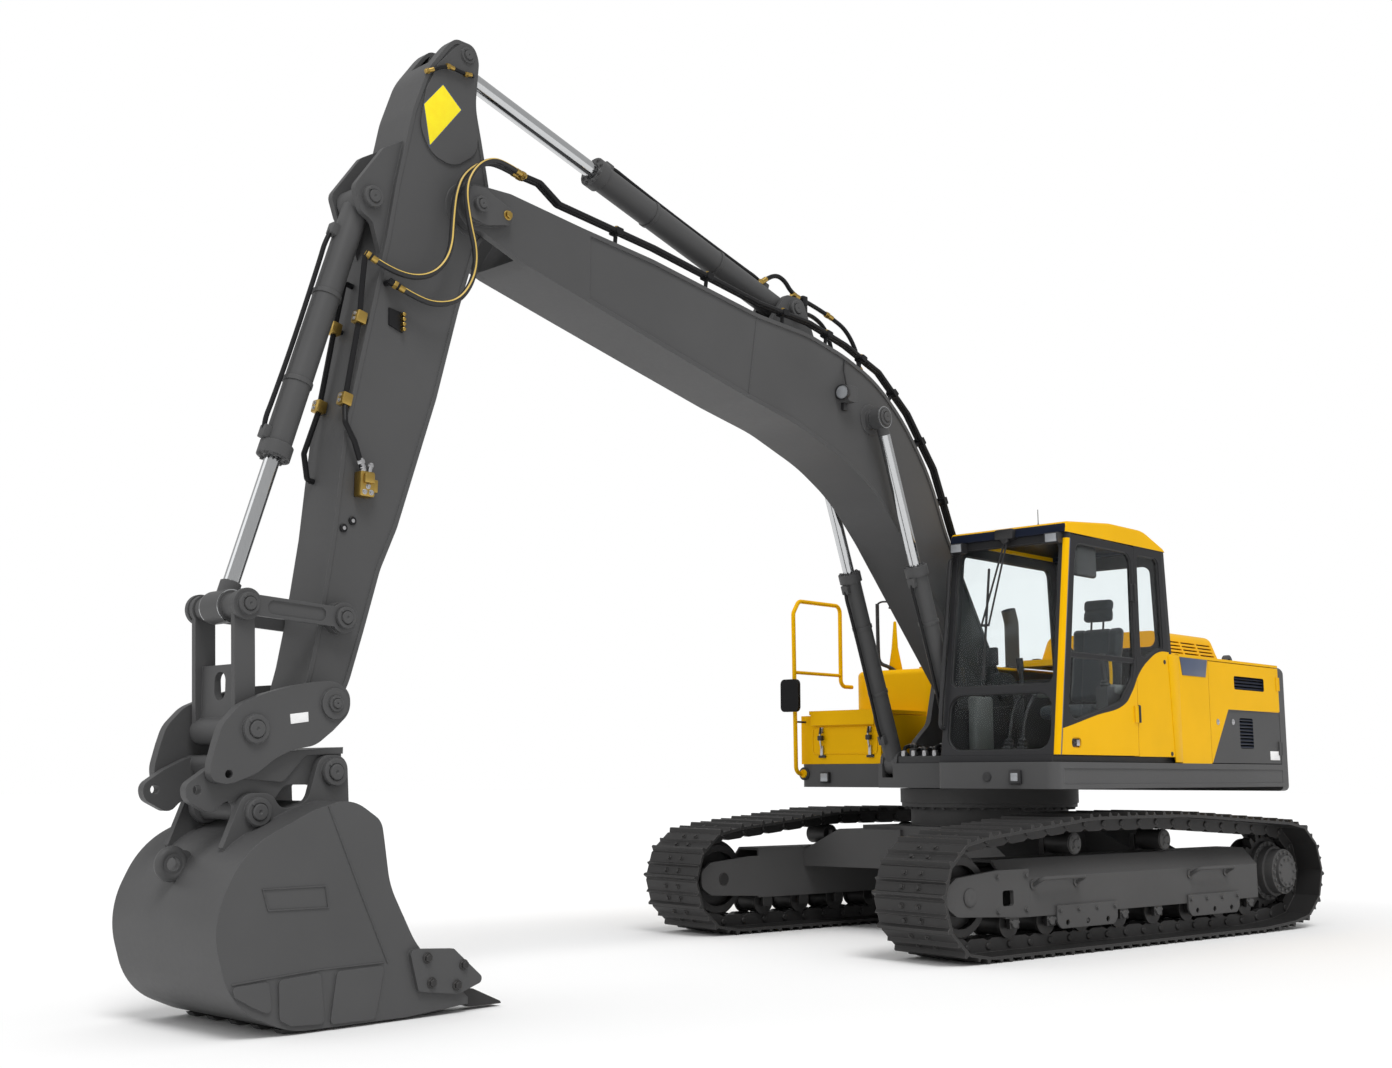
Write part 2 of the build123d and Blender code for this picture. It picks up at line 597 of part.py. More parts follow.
LOWER_FIELD = [(-2321, 1200), (-1054, 1200), (-1054, 1261), (-1360, 1671), (-2321, 1687)]
with BuildPart() as radiator_door:
    block(-2320, -1046, SIDE_Y - 26, SIDE_Y, DECK_TOP + 6, PANEL_TOP - 26)
    block(-2300, -1066, SIDE_Y - 27, SIDE_Y - 15, DECK_TOP + 26, PANEL_TOP - 46, Mode.SUBTRACT)
    plate(LOWER_FIELD, SIDE_Y - 7, SIDE_Y + 1, Mode.SUBTRACT, most=60, sharp=(0, 1, 2, 4))
    for x0, x1, z0, z1 in ((-2041, -1489, 1842, 1948), (-1813, -1568, 1376, 1618)):
        plate([(x0, z0), (x1, z0), (x1, z1), (x0, z1)], SIDE_Y - 40, SIDE_Y + 1, Mode.SUBTRACT,
              most=20)
        count = round((z1 - z0) / 27)
        for i in range(count):
            z = z0 + (i + 0.5) * (z1 - z0) / count
            section([(SIDE_Y - 9, z - 9), (SIDE_Y - 22, z + 8), (SIDE_Y - 17, z + 9),
                     (SIDE_Y - 8, z - 6)], x0 - 2, x1 + 2)
    for z in (1330, 1860):
        rod((-2318, SIDE_Y + 6, z), (-2318, SIDE_Y + 6, z + 110), 6)
        block(-2318, -2270, SIDE_Y - 8, SIDE_Y + 6, z, z + 110)
save(radiator_door.part, "radiator_door")

with BuildPart() as pump_door:
    block(-2320, -704, -SIDE_Y, 26 - SIDE_Y, DECK_TOP + 6, PANEL_TOP - 26)
    block(-2300, -724, 15 - SIDE_Y, 27 - SIDE_Y, DECK_TOP + 26, PANEL_TOP - 46, Mode.SUBTRACT)
    field = [(-2321, 1200), (-712, 1200), (-712, 1261), (-1018, 1671), (-2321, 1687)]
    plate(field, -SIDE_Y - 1, 7 - SIDE_Y, Mode.SUBTRACT, most=60, sharp=(0, 1, 2, 4))
    for z in (1330, 1860):
        rod((-2318, -SIDE_Y - 6, z), (-2318, -SIDE_Y - 6, z + 110), 6)
        block(-2318, -2270, -SIDE_Y - 6, 8 - SIDE_Y, z, z + 110)
save(pump_door.part, "pump_door")


def lean(z, back=0):
    """X of the cab's front plane at a height."""
    return CAB_FRONT - CAB_LEAN * (z - DECK_TOP) - back


def rear(z, ahead=0):
    """X of the cab's rear plane at a height."""
    return CAB_BACK + 0.075 * (z - DECK_TOP) + ahead


FLOOR_TOP = 1300
with BuildPart() as cab_floor:
    block(CAB_BACK + 5, lean(DECK_TOP), CAB_RIGHT, SIDE_Y - 45, DECK_TOP, FLOOR_TOP)
save(cab_floor.part, "cab_floor")

GLASS_SIDES = (CAB_RIGHT + 55, SIDE_Y - 65)
FRONT_PANES = ((1335, 1725, 110), (1780, 2775, 60))


def front_panes(x0, x1, mode):
    """Both windscreen openings, square to the cab's front, with rounded corners."""
    with BuildSketch(Plane(origin=(x0, 0, 0), x_dir=(0, 1, 0), z_dir=(1, 0, 0))) as openings:
        for z0, z1, most in FRONT_PANES:
            with BuildLine():
                closed([(GLASS_SIDES[0], z0), (GLASS_SIDES[1], z0), (GLASS_SIDES[1], z1),
                        (GLASS_SIDES[0], z1)], most)
            make_face()
    extrude(openings.sketch, amount=x1 - x0, dir=(1, 0, 0), mode=mode)


with BuildPart() as cab_front:
    plate([(lean(FLOOR_TOP, 50), FLOOR_TOP), (lean(FLOOR_TOP), FLOOR_TOP),
           (lean(ROOF_BOTTOM), ROOF_BOTTOM), (lean(ROOF_BOTTOM, 50), ROOF_BOTTOM)],
          CAB_RIGHT, SIDE_Y - 4)
    fillet(cab_front.edges().filter_by(GeomType.LINE).filter_by(
        lambda edge: edge.length > 1000 and abs(edge.tangent_at(0).Y) < 0.5).group_by(Axis.X)[-1], 24)
    front_panes(800, 1300, Mode.SUBTRACT)
save(cab_front.part, "cab_front")

right_window = [(rear(1720, 120), 1720), (lean(1620, 120), 1620), (lean(2760, 110), 2760),
                (rear(2760, 110), 2760)]
with BuildPart() as cab_right:
    plate([(rear(FLOOR_TOP, 41), FLOOR_TOP), (lean(FLOOR_TOP, 51), FLOOR_TOP),
           (lean(ROOF_BOTTOM, 51), ROOF_BOTTOM), (rear(ROOF_BOTTOM, 41), ROOF_BOTTOM)],
          CAB_RIGHT, CAB_RIGHT + 40)
    plate(right_window, CAB_RIGHT - 1, CAB_RIGHT + 41, Mode.SUBTRACT, most=70)
save(cab_right.part, "cab_right")

rear_window = [(CAB_RIGHT + 100, 2120), (SIDE_Y - 110, 2120), (SIDE_Y - 110, 2740),
               (CAB_RIGHT + 100, 2740)]
with BuildPart() as cab_rear:
    plate([(rear(FLOOR_TOP), FLOOR_TOP), (rear(FLOOR_TOP, 40), FLOOR_TOP),
           (rear(ROOF_BOTTOM, 40), ROOF_BOTTOM), (rear(ROOF_BOTTOM), ROOF_BOTTOM)],
          CAB_RIGHT, SIDE_Y - 4)
    section(rear_window, -600, -300, Mode.SUBTRACT, most=70)
save(cab_rear.part, "cab_rear")

quarter_window = [(rear(2090, 120), 2090), (-275, 2090), (20, 1990), (20, 2770),
                  (rear(2770, 95), 2770)]
with BuildPart() as cab_left:
    plate([(rear(FLOOR_TOP, 41), FLOOR_TOP), (DOOR_REAR - 4, FLOOR_TOP), (60, ROOF_BOTTOM),
           (rear(ROOF_BOTTOM, 41), ROOF_BOTTOM)], SIDE_Y - 44, SIDE_Y - 4)
    plate(quarter_window, SIDE_Y - 50, SIDE_Y, Mode.SUBTRACT, most=60)
save(cab_left.part, "cab_left")

ROOF_LINE = [(-430, ROOF_BOTTOM), (lean(ROOF_BOTTOM) + 30, ROOF_BOTTOM), (1010, 2905),
             (400, ROOF_TOP + 8), (-90, ROOF_TOP + 8), (-400, 2856)]
with BuildPart() as cab_roof:
    plate(ROOF_LINE, CAB_RIGHT - 5, SIDE_Y, most=420, sharp=(0, 1))
    crown = cab_roof.faces().sort_by(Axis.Y)
    rims = (crown[0].edges() + crown[-1].edges()).filter_by(
        lambda edge: edge.center().Z > ROOF_BOTTOM + 20)
    fillet(rims, 18)
    block(-320, 900, CAB_RIGHT + 50, SIDE_Y - 60, ROOF_BOTTOM - 1, 2860, Mode.SUBTRACT)
save(cab_roof.part, "cab_roof")

door_line = [(DOOR_REAR + 2, FLOOR_TOP + 4), (lean(FLOOR_TOP, 56), FLOOR_TOP + 4),
             (lean(2822, 56), 2822), (66, 2822)]
door_glass_line = [(lean(1515, 120), 1515), (330, 1680), (150, 1850), (110, 2000), (105, 2770),
                   (lean(2770, 115), 2770)]
with BuildPart() as cab_door:
    plate(door_line, SIDE_Y - 40, SIDE_Y - 4)
    plate(door_glass_line, SIDE_Y - 50, SIDE_Y, Mode.SUBTRACT, most=90)
    block(100, 1060, SIDE_Y - 30, SIDE_Y - 8, 1970, 2000)
    # Handle recess, and hinge barrels on the door's axis
    plate([(905, 1350), (1030, 1350), (1030, 1420), (905, 1420)], SIDE_Y - 18, SIDE_Y,
          Mode.SUBTRACT, most=30)
    for z in (1540, 2420):
        rod((88, SIDE_Y + 6, z), (88, SIDE_Y + 6, z + 120), 9)
        block(88, 150, SIDE_Y - 5, SIDE_Y + 6, z, z + 120)
        block(70, 104.5, SIDE_Y - 6, SIDE_Y - 2.5, z - 1, z + 121, Mode.SUBTRACT)
save(cab_door.part, "cab_door")

with BuildPart() as glass:
    for z0, z1, most in FRONT_PANES:
        plate([(lean(z0, 28), z0), (lean(z0, 22), z0), (lean(z1, 22), z1), (lean(z1, 28), z1)],
              *GLASS_SIDES)
    front_panes(800, 1300, Mode.INTERSECT)
    plate(right_window, CAB_RIGHT + 15, CAB_RIGHT + 21, most=70)
    plate(quarter_window, SIDE_Y - 26, SIDE_Y - 20, most=60)
save(glass.part, "cab_glass")

with BuildPart() as rear_pane:
    plate([(rear(2120, 17), 2120), (rear(2120, 23), 2120), (rear(2740, 23), 2740),
           (rear(2740, 17), 2740)], CAB_RIGHT + 100, SIDE_Y - 110)
    section(rear_window, -600, -300, Mode.INTERSECT, most=70)
save(rear_pane.part, "cab_rear_glass")

with BuildPart() as door_pane:
    plate(door_glass_line, SIDE_Y - 24, SIDE_Y - 18, most=90)
    block(90, 1070, SIDE_Y - 50, SIDE_Y, 1969.5, 2000.5, Mode.SUBTRACT)
save(door_pane.part, "door_glass")

# Lamps under the roof's front edge, and the wiper on the windscreen
with BuildPart() as work_lamps:
    for y in (CAB_RIGHT + 30, SIDE_Y - 140):
        plate([(lean(2780) + 0.05, 2780), (lean(2826) + 0.05, 2826), (1078, 2826), (1072, 2752),
               (lean(2752) + 0.05, 2752)], y, y + 105, most=16, sharp=(0, 1, 4))
save(work_lamps.part, "work_lamps")

with BuildPart() as wiper:
    square = Vector(1, 0, CAB_LEAN).normalized()
    foot = Vector(lean(2799), 870, 2799)
    rod(tuple(foot), tuple(foot + square * 40), 20)
    for y in (700, 760):
        start = foot + square * 30 + Vector(0, (y - 730) / 3, 0)
        end = Vector(lean(2210), y, 2210) + square * 22
        rod(tuple(start), tuple(end), 7)
    blade = [Vector(lean(z), 730, z) + square * 10 for z in (1830, 2620)]
    rod(tuple(blade[0]), tuple(blade[1]), 9)
    rod((lean(2210) + 10, 730, 2210), (lean(2210) + 24, 730, 2212), 12)
    rod((lean(2210) + 22, 700, 2213), (lean(2210) + 22, 762, 2213), 9)
save(wiper.part, "wiper")

with BuildPart() as seat:
    block(-150, 230, 700, 1040, FLOOR_TOP, 1560)
    block(-200, 320, 620, 1120, 1560, 1680)
    plate([(-200, 1680), (-80, 1680), (-180, 2300), (-270, 2300)], 640, 1100)
    plate([(-190, 2310), (-255, 2310), (-285, 2500), (-215, 2500)], 740, 1000)
    block(-250, -210, 830, 910, 2250, 2400)
save(seat.part, "seat")

with BuildPart() as controls:
    for y in (500, 1180):
        block(-120, 400, y, y + 90, FLOOR_TOP, 1790)
        rod((340, y + 45, 1780), (370, y + 45, 1990), 16)
        rod((362, y + 45, 1930), (376, y + 45, 2030), 26)
    for y in (790, 900):
        block(900, 980, y - 35, y + 35, FLOOR_TOP, 1360)
save(controls.part, "controls")

# Boom and its cylinders
BOOM_LUG = [(2180, 4080), (2360, 4440), (2540, 4440), (2760, 4140)]
with BuildPart() as boom:
    plate(BOOM_LINE, -BOOM_HALF, BOOM_HALF, most=1500, sharp=(0, 10, 11, 20))
    core(BOOM_LINE, 24, 26 - BOOM_HALF, BOOM_HALF - 26, 1500)
    for s in (1, -1):
        # Side plates stand back from the edges of the top and bottom plates
        core(BOOM_LINE, 28, s * (BOOM_HALF - 10), s * (BOOM_HALF + 1), 1500)
        plate(BOOM_FORK, s * 168, s * BOOM_HALF, most=110, sharp=(0, 1, 8))
        pin(ARM_PIVOT, 105, *sorted((s * 168, s * 250)))
        plate(PIN_KEEPER, s * (BOOM_HALF - 1), s * 262, most=45)
        plate(BOOM_LUG, s * 90, s * 125, most=75, sharp=(0, 3))
        pin(ARM_CYL_BASE, 62, *sorted((s * 125, s * 150)))
    pin(ARM_PIVOT, 45, -285, 285)
    pin(ARM_CYL_BASE, 40, -150, 150)
    pin(BOOM_CYL_EYE, 110, -BOOM_HALF, BOOM_HALF)
    pin(BOOM_CYL_EYE, 72, -246, 246)
    pin(BOOM_FOOT, 135, -232, 232)
    pin(BOOM_FOOT, 50 + FIT, -240, 240, Mode.SUBTRACT)
    # Lamp on a bracket beside the cylinder's pin
    plate([(1960, 3745), (2075, 3745), (2075, 3860), (1960, 3860)], BOOM_HALF - 12,
          BOOM_HALF + 75, most=30)
save(boom.part, "boom")

# Pipes on the boom's back, each clamp on a post at the middle of a straight run
PIPE_HEIGHT = 78
with BuildPart() as boom_pipes:
    back = stand_off([(480, 2468)] + BOOM_LINE[1:9] + [(4640, 4393)], PIPE_HEIGHT)
    line = [(640, 2831)] + back[1:-1] + [(4700, 4478), (4850, 4566), (4960, 4572)]
    for route in (HOSE_INNER, HOSE_OUTER):
        y = route[0][1]
        tube([(x, y, z) for x, z in line], 15, 45)
        rod(ahead(route[1::-1], 45), route[0], 16.5)
    for a, b in zip(BOOM_LINE[1:9], BOOM_LINE[2:10]):
        length = math.dist(a, b)
        if length < 350:
            continue
        x, z = (a[0] + b[0]) / 2, (a[1] + b[1]) / 2
        tx, tz = (b[0] - a[0]) / length, (b[1] - a[1]) / length
        clamp = [(-28, 58), (28, 58), (28, 98), (-28, 98)]
        plate([(x + t * tx - n * tz, z + t * tz + n * tx) for t, n in clamp], 165, 237, most=8)
        rod((x, 196, z), (x - 65 * tz, 196, z + 65 * tx), 13)
save(boom_pipes.part, "boom_pipes")

with BuildPart() as boom_barrels:
    for y in (BOOM_CYL_Y, -BOOM_CYL_Y):
        barrel(BOOM_CYL_BASE, BOOM_CYL_EYE, y, 70, 44.5, 1500, 82, 45, 42)
save(boom_barrels.part, "boom_cylinder_barrels")

with BuildPart() as boom_rods:
    for y in (BOOM_CYL_Y, -BOOM_CYL_Y):
        piston_rod(BOOM_CYL_BASE, BOOM_CYL_EYE, y, 42.5, 950, 78, 45, 40, 51)
save(boom_rods.part, "boom_cylinder_rods")

with BuildPart() as arm_barrel:
    barrel(ARM_CYL_BASE, ARM_CYL_EYE, 0, 84, 52, 1868, 88, 82, 40)
save(arm_barrel.part, "arm_cylinder_barrel")

with BuildPart() as arm_rod:
    piston_rod(ARM_CYL_BASE, ARM_CYL_EYE, 0, 50, 1100, 88, 70, 40, 72)
save(arm_rod.part, "arm_cylinder_rod")

# Arm, bucket linkage and bucket
ARM_LUG = [(5720, 4600), (5880, 4500), (6060, 4240), (6010, 4105), (5940, 4080), (5860, 3850)]
with BuildPart() as arm:
    plate(ARM_LINE, -ARM_HALF, ARM_HALF, most=420)
    core(ARM_LINE, 22, 22 - ARM_HALF, ARM_HALF - 22, 400)
    for s in (1, -1):
        # Side plates stand back from the edges of the front and rear plates
        core(ARM_LINE, 24, s * (ARM_HALF - 6), s * (ARM_HALF + 1), 400)
        plate(ARM_DOUBLER, s * (ARM_HALF - 8), s * (ARM_HALF + 6), most=150)
        pin(ARM_PIVOT, 150, *sorted((s * (ARM_HALF - 8), s * ARM_HALF)))
    pin(ARM_PIVOT, 118, -160, 160)
    pin(ARM_TIP, 88, -226, 226)
    pin(GUIDE_PIVOT, 80, -198, 198)
    block(5150, 5570, -78, 78, 5020, 5300, Mode.SUBTRACT)
    for s in (1, -1):
        pin(ARM_CYL_EYE, 92, *sorted((s * 78, s * 120)))
        pin(ARM_CYL_EYE, 48, *sorted((s * 120, s * 165)))
        plate(ARM_LUG, s * 88, s * 125, most=60, sharp=(0, 5))
        pin(BUCKET_CYL_BASE, 60, *sorted((s * 125, s * 150)))
    pin(BUCKET_CYL_BASE, 38, -150, 150)
    pin(GUIDE_PIVOT, 38, -242, 242)
    for s in (1, -1):
        pin(GUIDE_PIVOT, 55, *sorted((s * 229, s * 242)))
    pin(ARM_PIVOT, 45 + FIT, -170, 170, Mode.SUBTRACT)
    pin(ARM_TIP, 42, -300, 300)
save(arm.part, "arm")


def arm_front(z, off=0):
    """Point off the arm's front plate, square to it, from a height on the plate."""
    (xa, za), (xb, zb) = (5862, 4000), (6088, 2902)
    length = math.dist((xa, za), (xb, zb))
    x = xa + (xb - xa) * (z - za) / (zb - za)
    return (x + off * (za - zb) / length, z + off * (xb - xa) / length)


for name, route in (("hose_inner", HOSE_INNER), ("hose_outer", HOSE_OUTER)):
    with BuildPart() as hose:
        radii = route_radii(route)
        length = tube(route, HOSE_RADIUS, radii)
    print(name, "radii", [round(radius) for radius in radii], "length", round(length),
          "volume", round(hose.part.volume / (math.pi * HOSE_RADIUS ** 2 * length), 4))
    save(hose.part, name)

with BuildPart() as arm_pipes:
    # Left pipe on the front plate, from the inner hose round the edge to the valve on the side
    elbow = ahead(HOSE_INNER, 42)
    rod(HOSE_INNER[-1], elbow, 20)
    clamps = [arm_front(3516, 46), arm_front(3070, 26)]
    left = [elbow, (5996, 135, 3720)] + [(x, 135, z) for x, z in clamps]
    left += [(6104, 182, 2945), (6050, 192, 2850), (5985, 192, 2690)]
    tube(left, 15, 30)
    for z in (3516, 3070):
        x0, z0 = arm_front(z)
        x1, z1 = arm_front(z, 46 if z > 3300 else 26)
        rod((x0, 135, z0), (x1, 135, z1), 13)
        rod((x1 - 5, 135, z1 + 24), (x1 + 5, 135, z1 - 24), 24)
    block(5935, 6015, ARM_HALF - 6, 212, 2575, 2700)
    # Fitting of the outer hose, on a post from the arm's side
    fitting = ahead(HOSE_OUTER, 62)
    rod(HOSE_OUTER[-1], fitting, 20)
    rod((fitting[0] - 8, ARM_HALF - 6, fitting[2] - 4), (fitting[0] - 8, 195, fitting[2] - 4), 16)
    # Right pipe, standing off the front plate and back to it
    right = [arm_front(z, off) for z, off in ((3760, 0), (3760, 52), (3494, 50), (3031, 34))]
    right += [(6172, 2806), (6146.6, 2671.4), (6109.2, 2668)]
    tube([(x, -80, z) for x, z in right], 15, 22)
    for z, off in ((3494, 50), (3060, 35)):
        x0, z0 = arm_front(z)
        x1, z1 = arm_front(z, off)
        rod((x0, -80, z0), (x1, -80, z1), 13)
        rod((x1 - 5, -80, z1 + 24), (x1 + 5, -80, z1 - 24), 24)
save(arm_pipes.part, "arm_pipes")

with BuildPart() as bucket_barrel:
    barrel(BUCKET_CYL_BASE, LINK_PIN, 0, 72, 43, 1526, 78, 82, 38)
save(bucket_barrel.part, "bucket_cylinder_barrel")

with BuildPart() as bucket_rod:
    piston_rod(BUCKET_CYL_BASE, LINK_PIN, 0, 41, 700, 80, 85, 60, 158)
save(bucket_rod.part, "bucket_cylinder_rod")


def lever(a, b, radius_a, radius_b, waist, y0, y1):
    """Flat link with round ends and a narrower waist between two pins."""
    ang = math.atan2(b[1] - a[1], b[0] - a[0])
    nx, nz = -math.sin(ang), math.cos(ang)
    plate([(a[0] + nx * waist, a[1] + nz * waist), (b[0] + nx * waist, b[1] + nz * waist),
           (b[0] - nx * waist, b[1] - nz * waist), (a[0] - nx * waist, a[1] - nz * waist)], y0, y1)
    pin(a, radius_a, y0, y1)
    pin(b, radius_b, y0, y1)


with BuildPart() as guides:
    for s in (1, -1):
        low, high = sorted((s * 203, s * 227))
        lever(GUIDE_PIVOT, LINK_PIN, 76, 76, 50, low, high)
        # Pocket in the outer face, between raised edges
        reach = math.atan2(LINK_PIN[1] - GUIDE_PIVOT[1], LINK_PIN[0] - GUIDE_PIVOT[0])
        nx, nz = -math.sin(reach), math.cos(reach)
        a, b = along(GUIDE_PIVOT, LINK_PIN, 110), along(GUIDE_PIVOT, LINK_PIN, 435)
        pocket = [(a, -34), (b, -34), (b, 34), (a, 34)]
        plate([(p[0] + nx * n, p[2] + nz * n) for p, n in pocket], s * 218, s * 228,
              Mode.SUBTRACT, most=30)
        pin(GUIDE_PIVOT, 38 + FIT, low - 1, high + 1, Mode.SUBTRACT)
        pin(LINK_PIN, 55, *sorted((s * 227, s * 242)))
save(guides.part, "guide_links")

def link_point(distance, off):
    """Point beside the bucket link's line, from its upper pin."""
    x, y, z = along(LINK_PIN, COUPLER_LINK, distance)
    length = math.dist(LINK_PIN, COUPLER_LINK)
    return (x - off * (COUPLER_LINK[1] - LINK_PIN[1]) / length,
            z + off * (COUPLER_LINK[0] - LINK_PIN[0]) / length)


with BuildPart() as bucket_link:
    for s in (1, -1):
        low, high = sorted((s * 165, s * 198))
        lever(LINK_PIN, COUPLER_LINK, 70, 66, 54, low, high)
    # Web between the bars, with a long slot through it
    web = [link_point(280, -14), link_point(280, 14), link_point(555, 24), link_point(555, -24)]
    plate(web, -166, 166)
    slot_low, slot_high = link_point(450, 0)[1], link_point(315, 0)[1]
    section([(-50, slot_low), (50, slot_low), (50, slot_high), (-50, slot_high)], 6500, 6720,
            Mode.SUBTRACT, most=48)
    pin(COUPLER_LINK, 66, -198, 198)
    pin(COUPLER_LINK, 40 + FIT, -199, 199, Mode.SUBTRACT)
save(bucket_link.part, "bucket_link")

COUPLER_CHEEK = [(6290, 1612), (6180, 1622), (6090, 1575), (6085, 1470), (6180, 1380),
                 (6277, 1306), (6400, 1286), (6490, 1246), (6590, 1172), (6734, 1120), (6822, 1140),
                 (6832, 1204), (6805, 1313), (6778, 1400), (6690, 1493), (6566, 1546), (6422, 1587)]
COUPLER_HOOK = [(6090, 1300), (6560, 1260), (6690, 1250), (6812, 1192), (6918, 1120), (6905, 1050),
                (6775, 985), (6715, 1045), (6655, 1045), (6645, 985), (6600, 937), (6540, 937),
                (6400, 1120), (6240, 1120), (6200, 1090), (6125, 1090), (6080, 1150)]
with BuildPart() as coupler:
    for s in (1, -1):
        plate(COUPLER_CHEEK, s * 232, s * 285, most=160)
        plate(COUPLER_HOOK, s * 172, s * 222, most=60, sharp=(0, 1))
    # Body between the cheeks, with the cross tube over the hooks
    plate([(6090, 1302), (6700, 1256), (6640, 1150), (6420, 1132), (6300, 1260), (6090, 1270)],
          -240, 240, most=40, sharp=(0, 5))
    plate([(6090, 1300), (6560, 1260), (6600, 1120), (6420, 1130), (6090, 1180)], -175, 175)
    pin(COUPLER_LINK, 40, -285, 285)
    for s in (1, -1):
        pin(ARM_TIP, 75, *sorted((s * 285, s * 300)))
        pin(COUPLER_LINK, 70, *sorted((s * 285, s * 300)))
        pin((6734, 1170), 20, *sorted((s * 231, s * 286)), Mode.SUBTRACT)
        pin((6855, 1098), 22, *sorted((s * 171, s * 223)), Mode.SUBTRACT)
    pin(ARM_TIP, 42 + FIT, -310, 310, Mode.SUBTRACT)
    pin(BUCKET_FRONT_PIN, 40 + FIT, -300, 300, Mode.SUBTRACT)
    pin(BUCKET_REAR_PIN, 40 + FIT, -300, 300, Mode.SUBTRACT)
save(coupler.part, "coupler")

WRAP = [(6018, 948), (6196, 1060), (6400, 1004), (6750, 838), (6905, 520), (6790, 150), (6480, 14),
        (5840, 14), (5470, 40)]
WRAP_IN = [(6030, 915), (6190, 1034), (6388, 980), (6730, 816), (6876, 516), (6770, 170), (6472, 42),
           (5840, 42), (5470, 72)]
BUCKET_EAR = [(6060, 950), (6085, 1262), (6240, 1262), (6300, 1040), (6440, 1000), (6500, 1082),
              (6646, 1082), (6742, 836), (6728, 820), (6392, 982), (6194, 1036)]
CUTTER = [(5583, 318), (5378, 150), (5548, 96), (5790, 130), (5850, 330), (5768, 330)]
WEAR_PLATES = [
    [(6795, 240), (6610, 249), (6585, 98), (6690, 146), (6778, 196)],
    [(6560, 251), (6338, 265), (6310, 34), (6490, 44), (6548, 76)],
    [(6250, 264), (5985, 268), (6030, 26), (6280, 28)],
]
with BuildPart() as bucket:
    plate(WRAP + [(5470, 72), (5600, 190), (5790, 340), (5960, 640), (6000, 860)],
          -BUCKET_HALF, BUCKET_HALF, most=420, sharp=(8, 9))
    plate(WRAP_IN + [(5300, 72), (5300, 915)], 25 - BUCKET_HALF, BUCKET_HALF - 25, Mode.SUBTRACT,
          most=400, sharp=(8, 9, 10))
    for s in (1, -1):
        plate(BUCKET_EAR, s * 230, s * 270, most=72, sharp=(0, 7, 8, 9, 10))
        pin(BUCKET_FRONT_PIN, 68, *sorted((s * 270, s * 292)))
        pin(BUCKET_REAR_PIN, 68, *sorted((s * 270, s * 292)))
        plate(CUTTER, s * BUCKET_HALF, s * (BUCKET_HALF + 24), most=24)
        for outline in WEAR_PLATES:
            plate(outline, s * BUCKET_HALF, s * (BUCKET_HALF + 12), most=22)
    pin(BUCKET_FRONT_PIN, 40, -292, 292)
    pin(BUCKET_REAR_PIN, 40, -292, 292)
    # Wear strips under the heel
    for y in (-390, -200, 0, 200, 390):
        plate([(6500, 22), (6480, 2), (5980, 2), (5960, 22)], y - 32, y + 32)
    plate([(6740, 812), (6835, 826), (6910, 760), (6885, 690), (6800, 680)], -20, 20, most=50)
    pin(LIFT_EYE, 62, -20, 20)
    pin(LIFT_EYE, LIFT_EYE_R, -21, 21, Mode.SUBTRACT)
save(bucket.part, "bucket")

TOOTH = [(5469.5, 40), (5469.5, 72.5), (5640, 60), (5652, 84), (5600, 108), (5450, 122),
         (5432, 106), (5405, 104), (5225, 26), (5220, 14), (5420, 16)]
with BuildPart() as teeth_set:
    for i in range(5):
        y = (i - 2) * 196
        plate(TOOTH, y - 45, y + 45)
save(teeth_set.part, "bucket_teeth")
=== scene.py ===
"""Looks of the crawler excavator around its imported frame. Metres, in the frame of the CAD model."""
import math

import bmesh
import bpy
from mathutils import Matrix, Vector


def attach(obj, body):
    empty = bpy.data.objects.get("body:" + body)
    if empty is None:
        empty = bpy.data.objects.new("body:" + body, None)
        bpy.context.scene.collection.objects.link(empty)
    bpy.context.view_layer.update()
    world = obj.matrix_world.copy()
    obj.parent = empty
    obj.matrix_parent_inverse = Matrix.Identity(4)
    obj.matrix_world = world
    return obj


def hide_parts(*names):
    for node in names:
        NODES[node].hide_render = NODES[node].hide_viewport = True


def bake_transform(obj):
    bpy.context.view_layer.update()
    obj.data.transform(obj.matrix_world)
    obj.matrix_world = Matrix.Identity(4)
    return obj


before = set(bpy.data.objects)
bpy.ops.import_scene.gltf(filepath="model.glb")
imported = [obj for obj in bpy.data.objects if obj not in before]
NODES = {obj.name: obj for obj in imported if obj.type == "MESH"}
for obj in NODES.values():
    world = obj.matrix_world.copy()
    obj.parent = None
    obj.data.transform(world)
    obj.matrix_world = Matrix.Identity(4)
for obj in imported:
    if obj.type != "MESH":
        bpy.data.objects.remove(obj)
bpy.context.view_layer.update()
SCENE = bpy.context.scene

# Camera at the photograph's viewpoint
CAMERA_AT = (10.609, 6.905, 1.16)
CAMERA_YAW = -136.6
CAMERA_PITCH = 8.7
LENS_MM = 40.94
SENSOR_MM = 36.0
CLIP_END = 200.0

# Studio floor and light
FLOOR_HALF = 90.0
AMBIENT = 0.66
MIRRORED = 0.55
LIGHTS = (("key", 1.5, 25.0, 58.0, 150.0), ("fill", 0.35, 40.0, 35.0, 60.0))

# Colours as linear RGB; each _EDGE colour is the lighter tone of edges, which stands for worn paint and
# for painted highlight
CHARCOAL = (0.082, 0.082, 0.083, 1)
CHARCOAL_EDGE = (0.20, 0.20, 0.205, 1)
UNDER_GREY = (0.080, 0.079, 0.079, 1)
UNDER_EDGE = (0.18, 0.178, 0.175, 1)
SHOE_GREY = (0.052, 0.051, 0.051, 1)
SHOE_EDGE = (0.21, 0.20, 0.195, 1)
YELLOW = (0.84, 0.455, 0.001, 1)
YELLOW_EDGE = (0.93, 0.66, 0.10, 1)
BLACK = (0.014, 0.014, 0.015, 1)
NAVY = (0.012, 0.016, 0.030, 1)
FRAME_GREY = (0.030, 0.030, 0.032, 1)

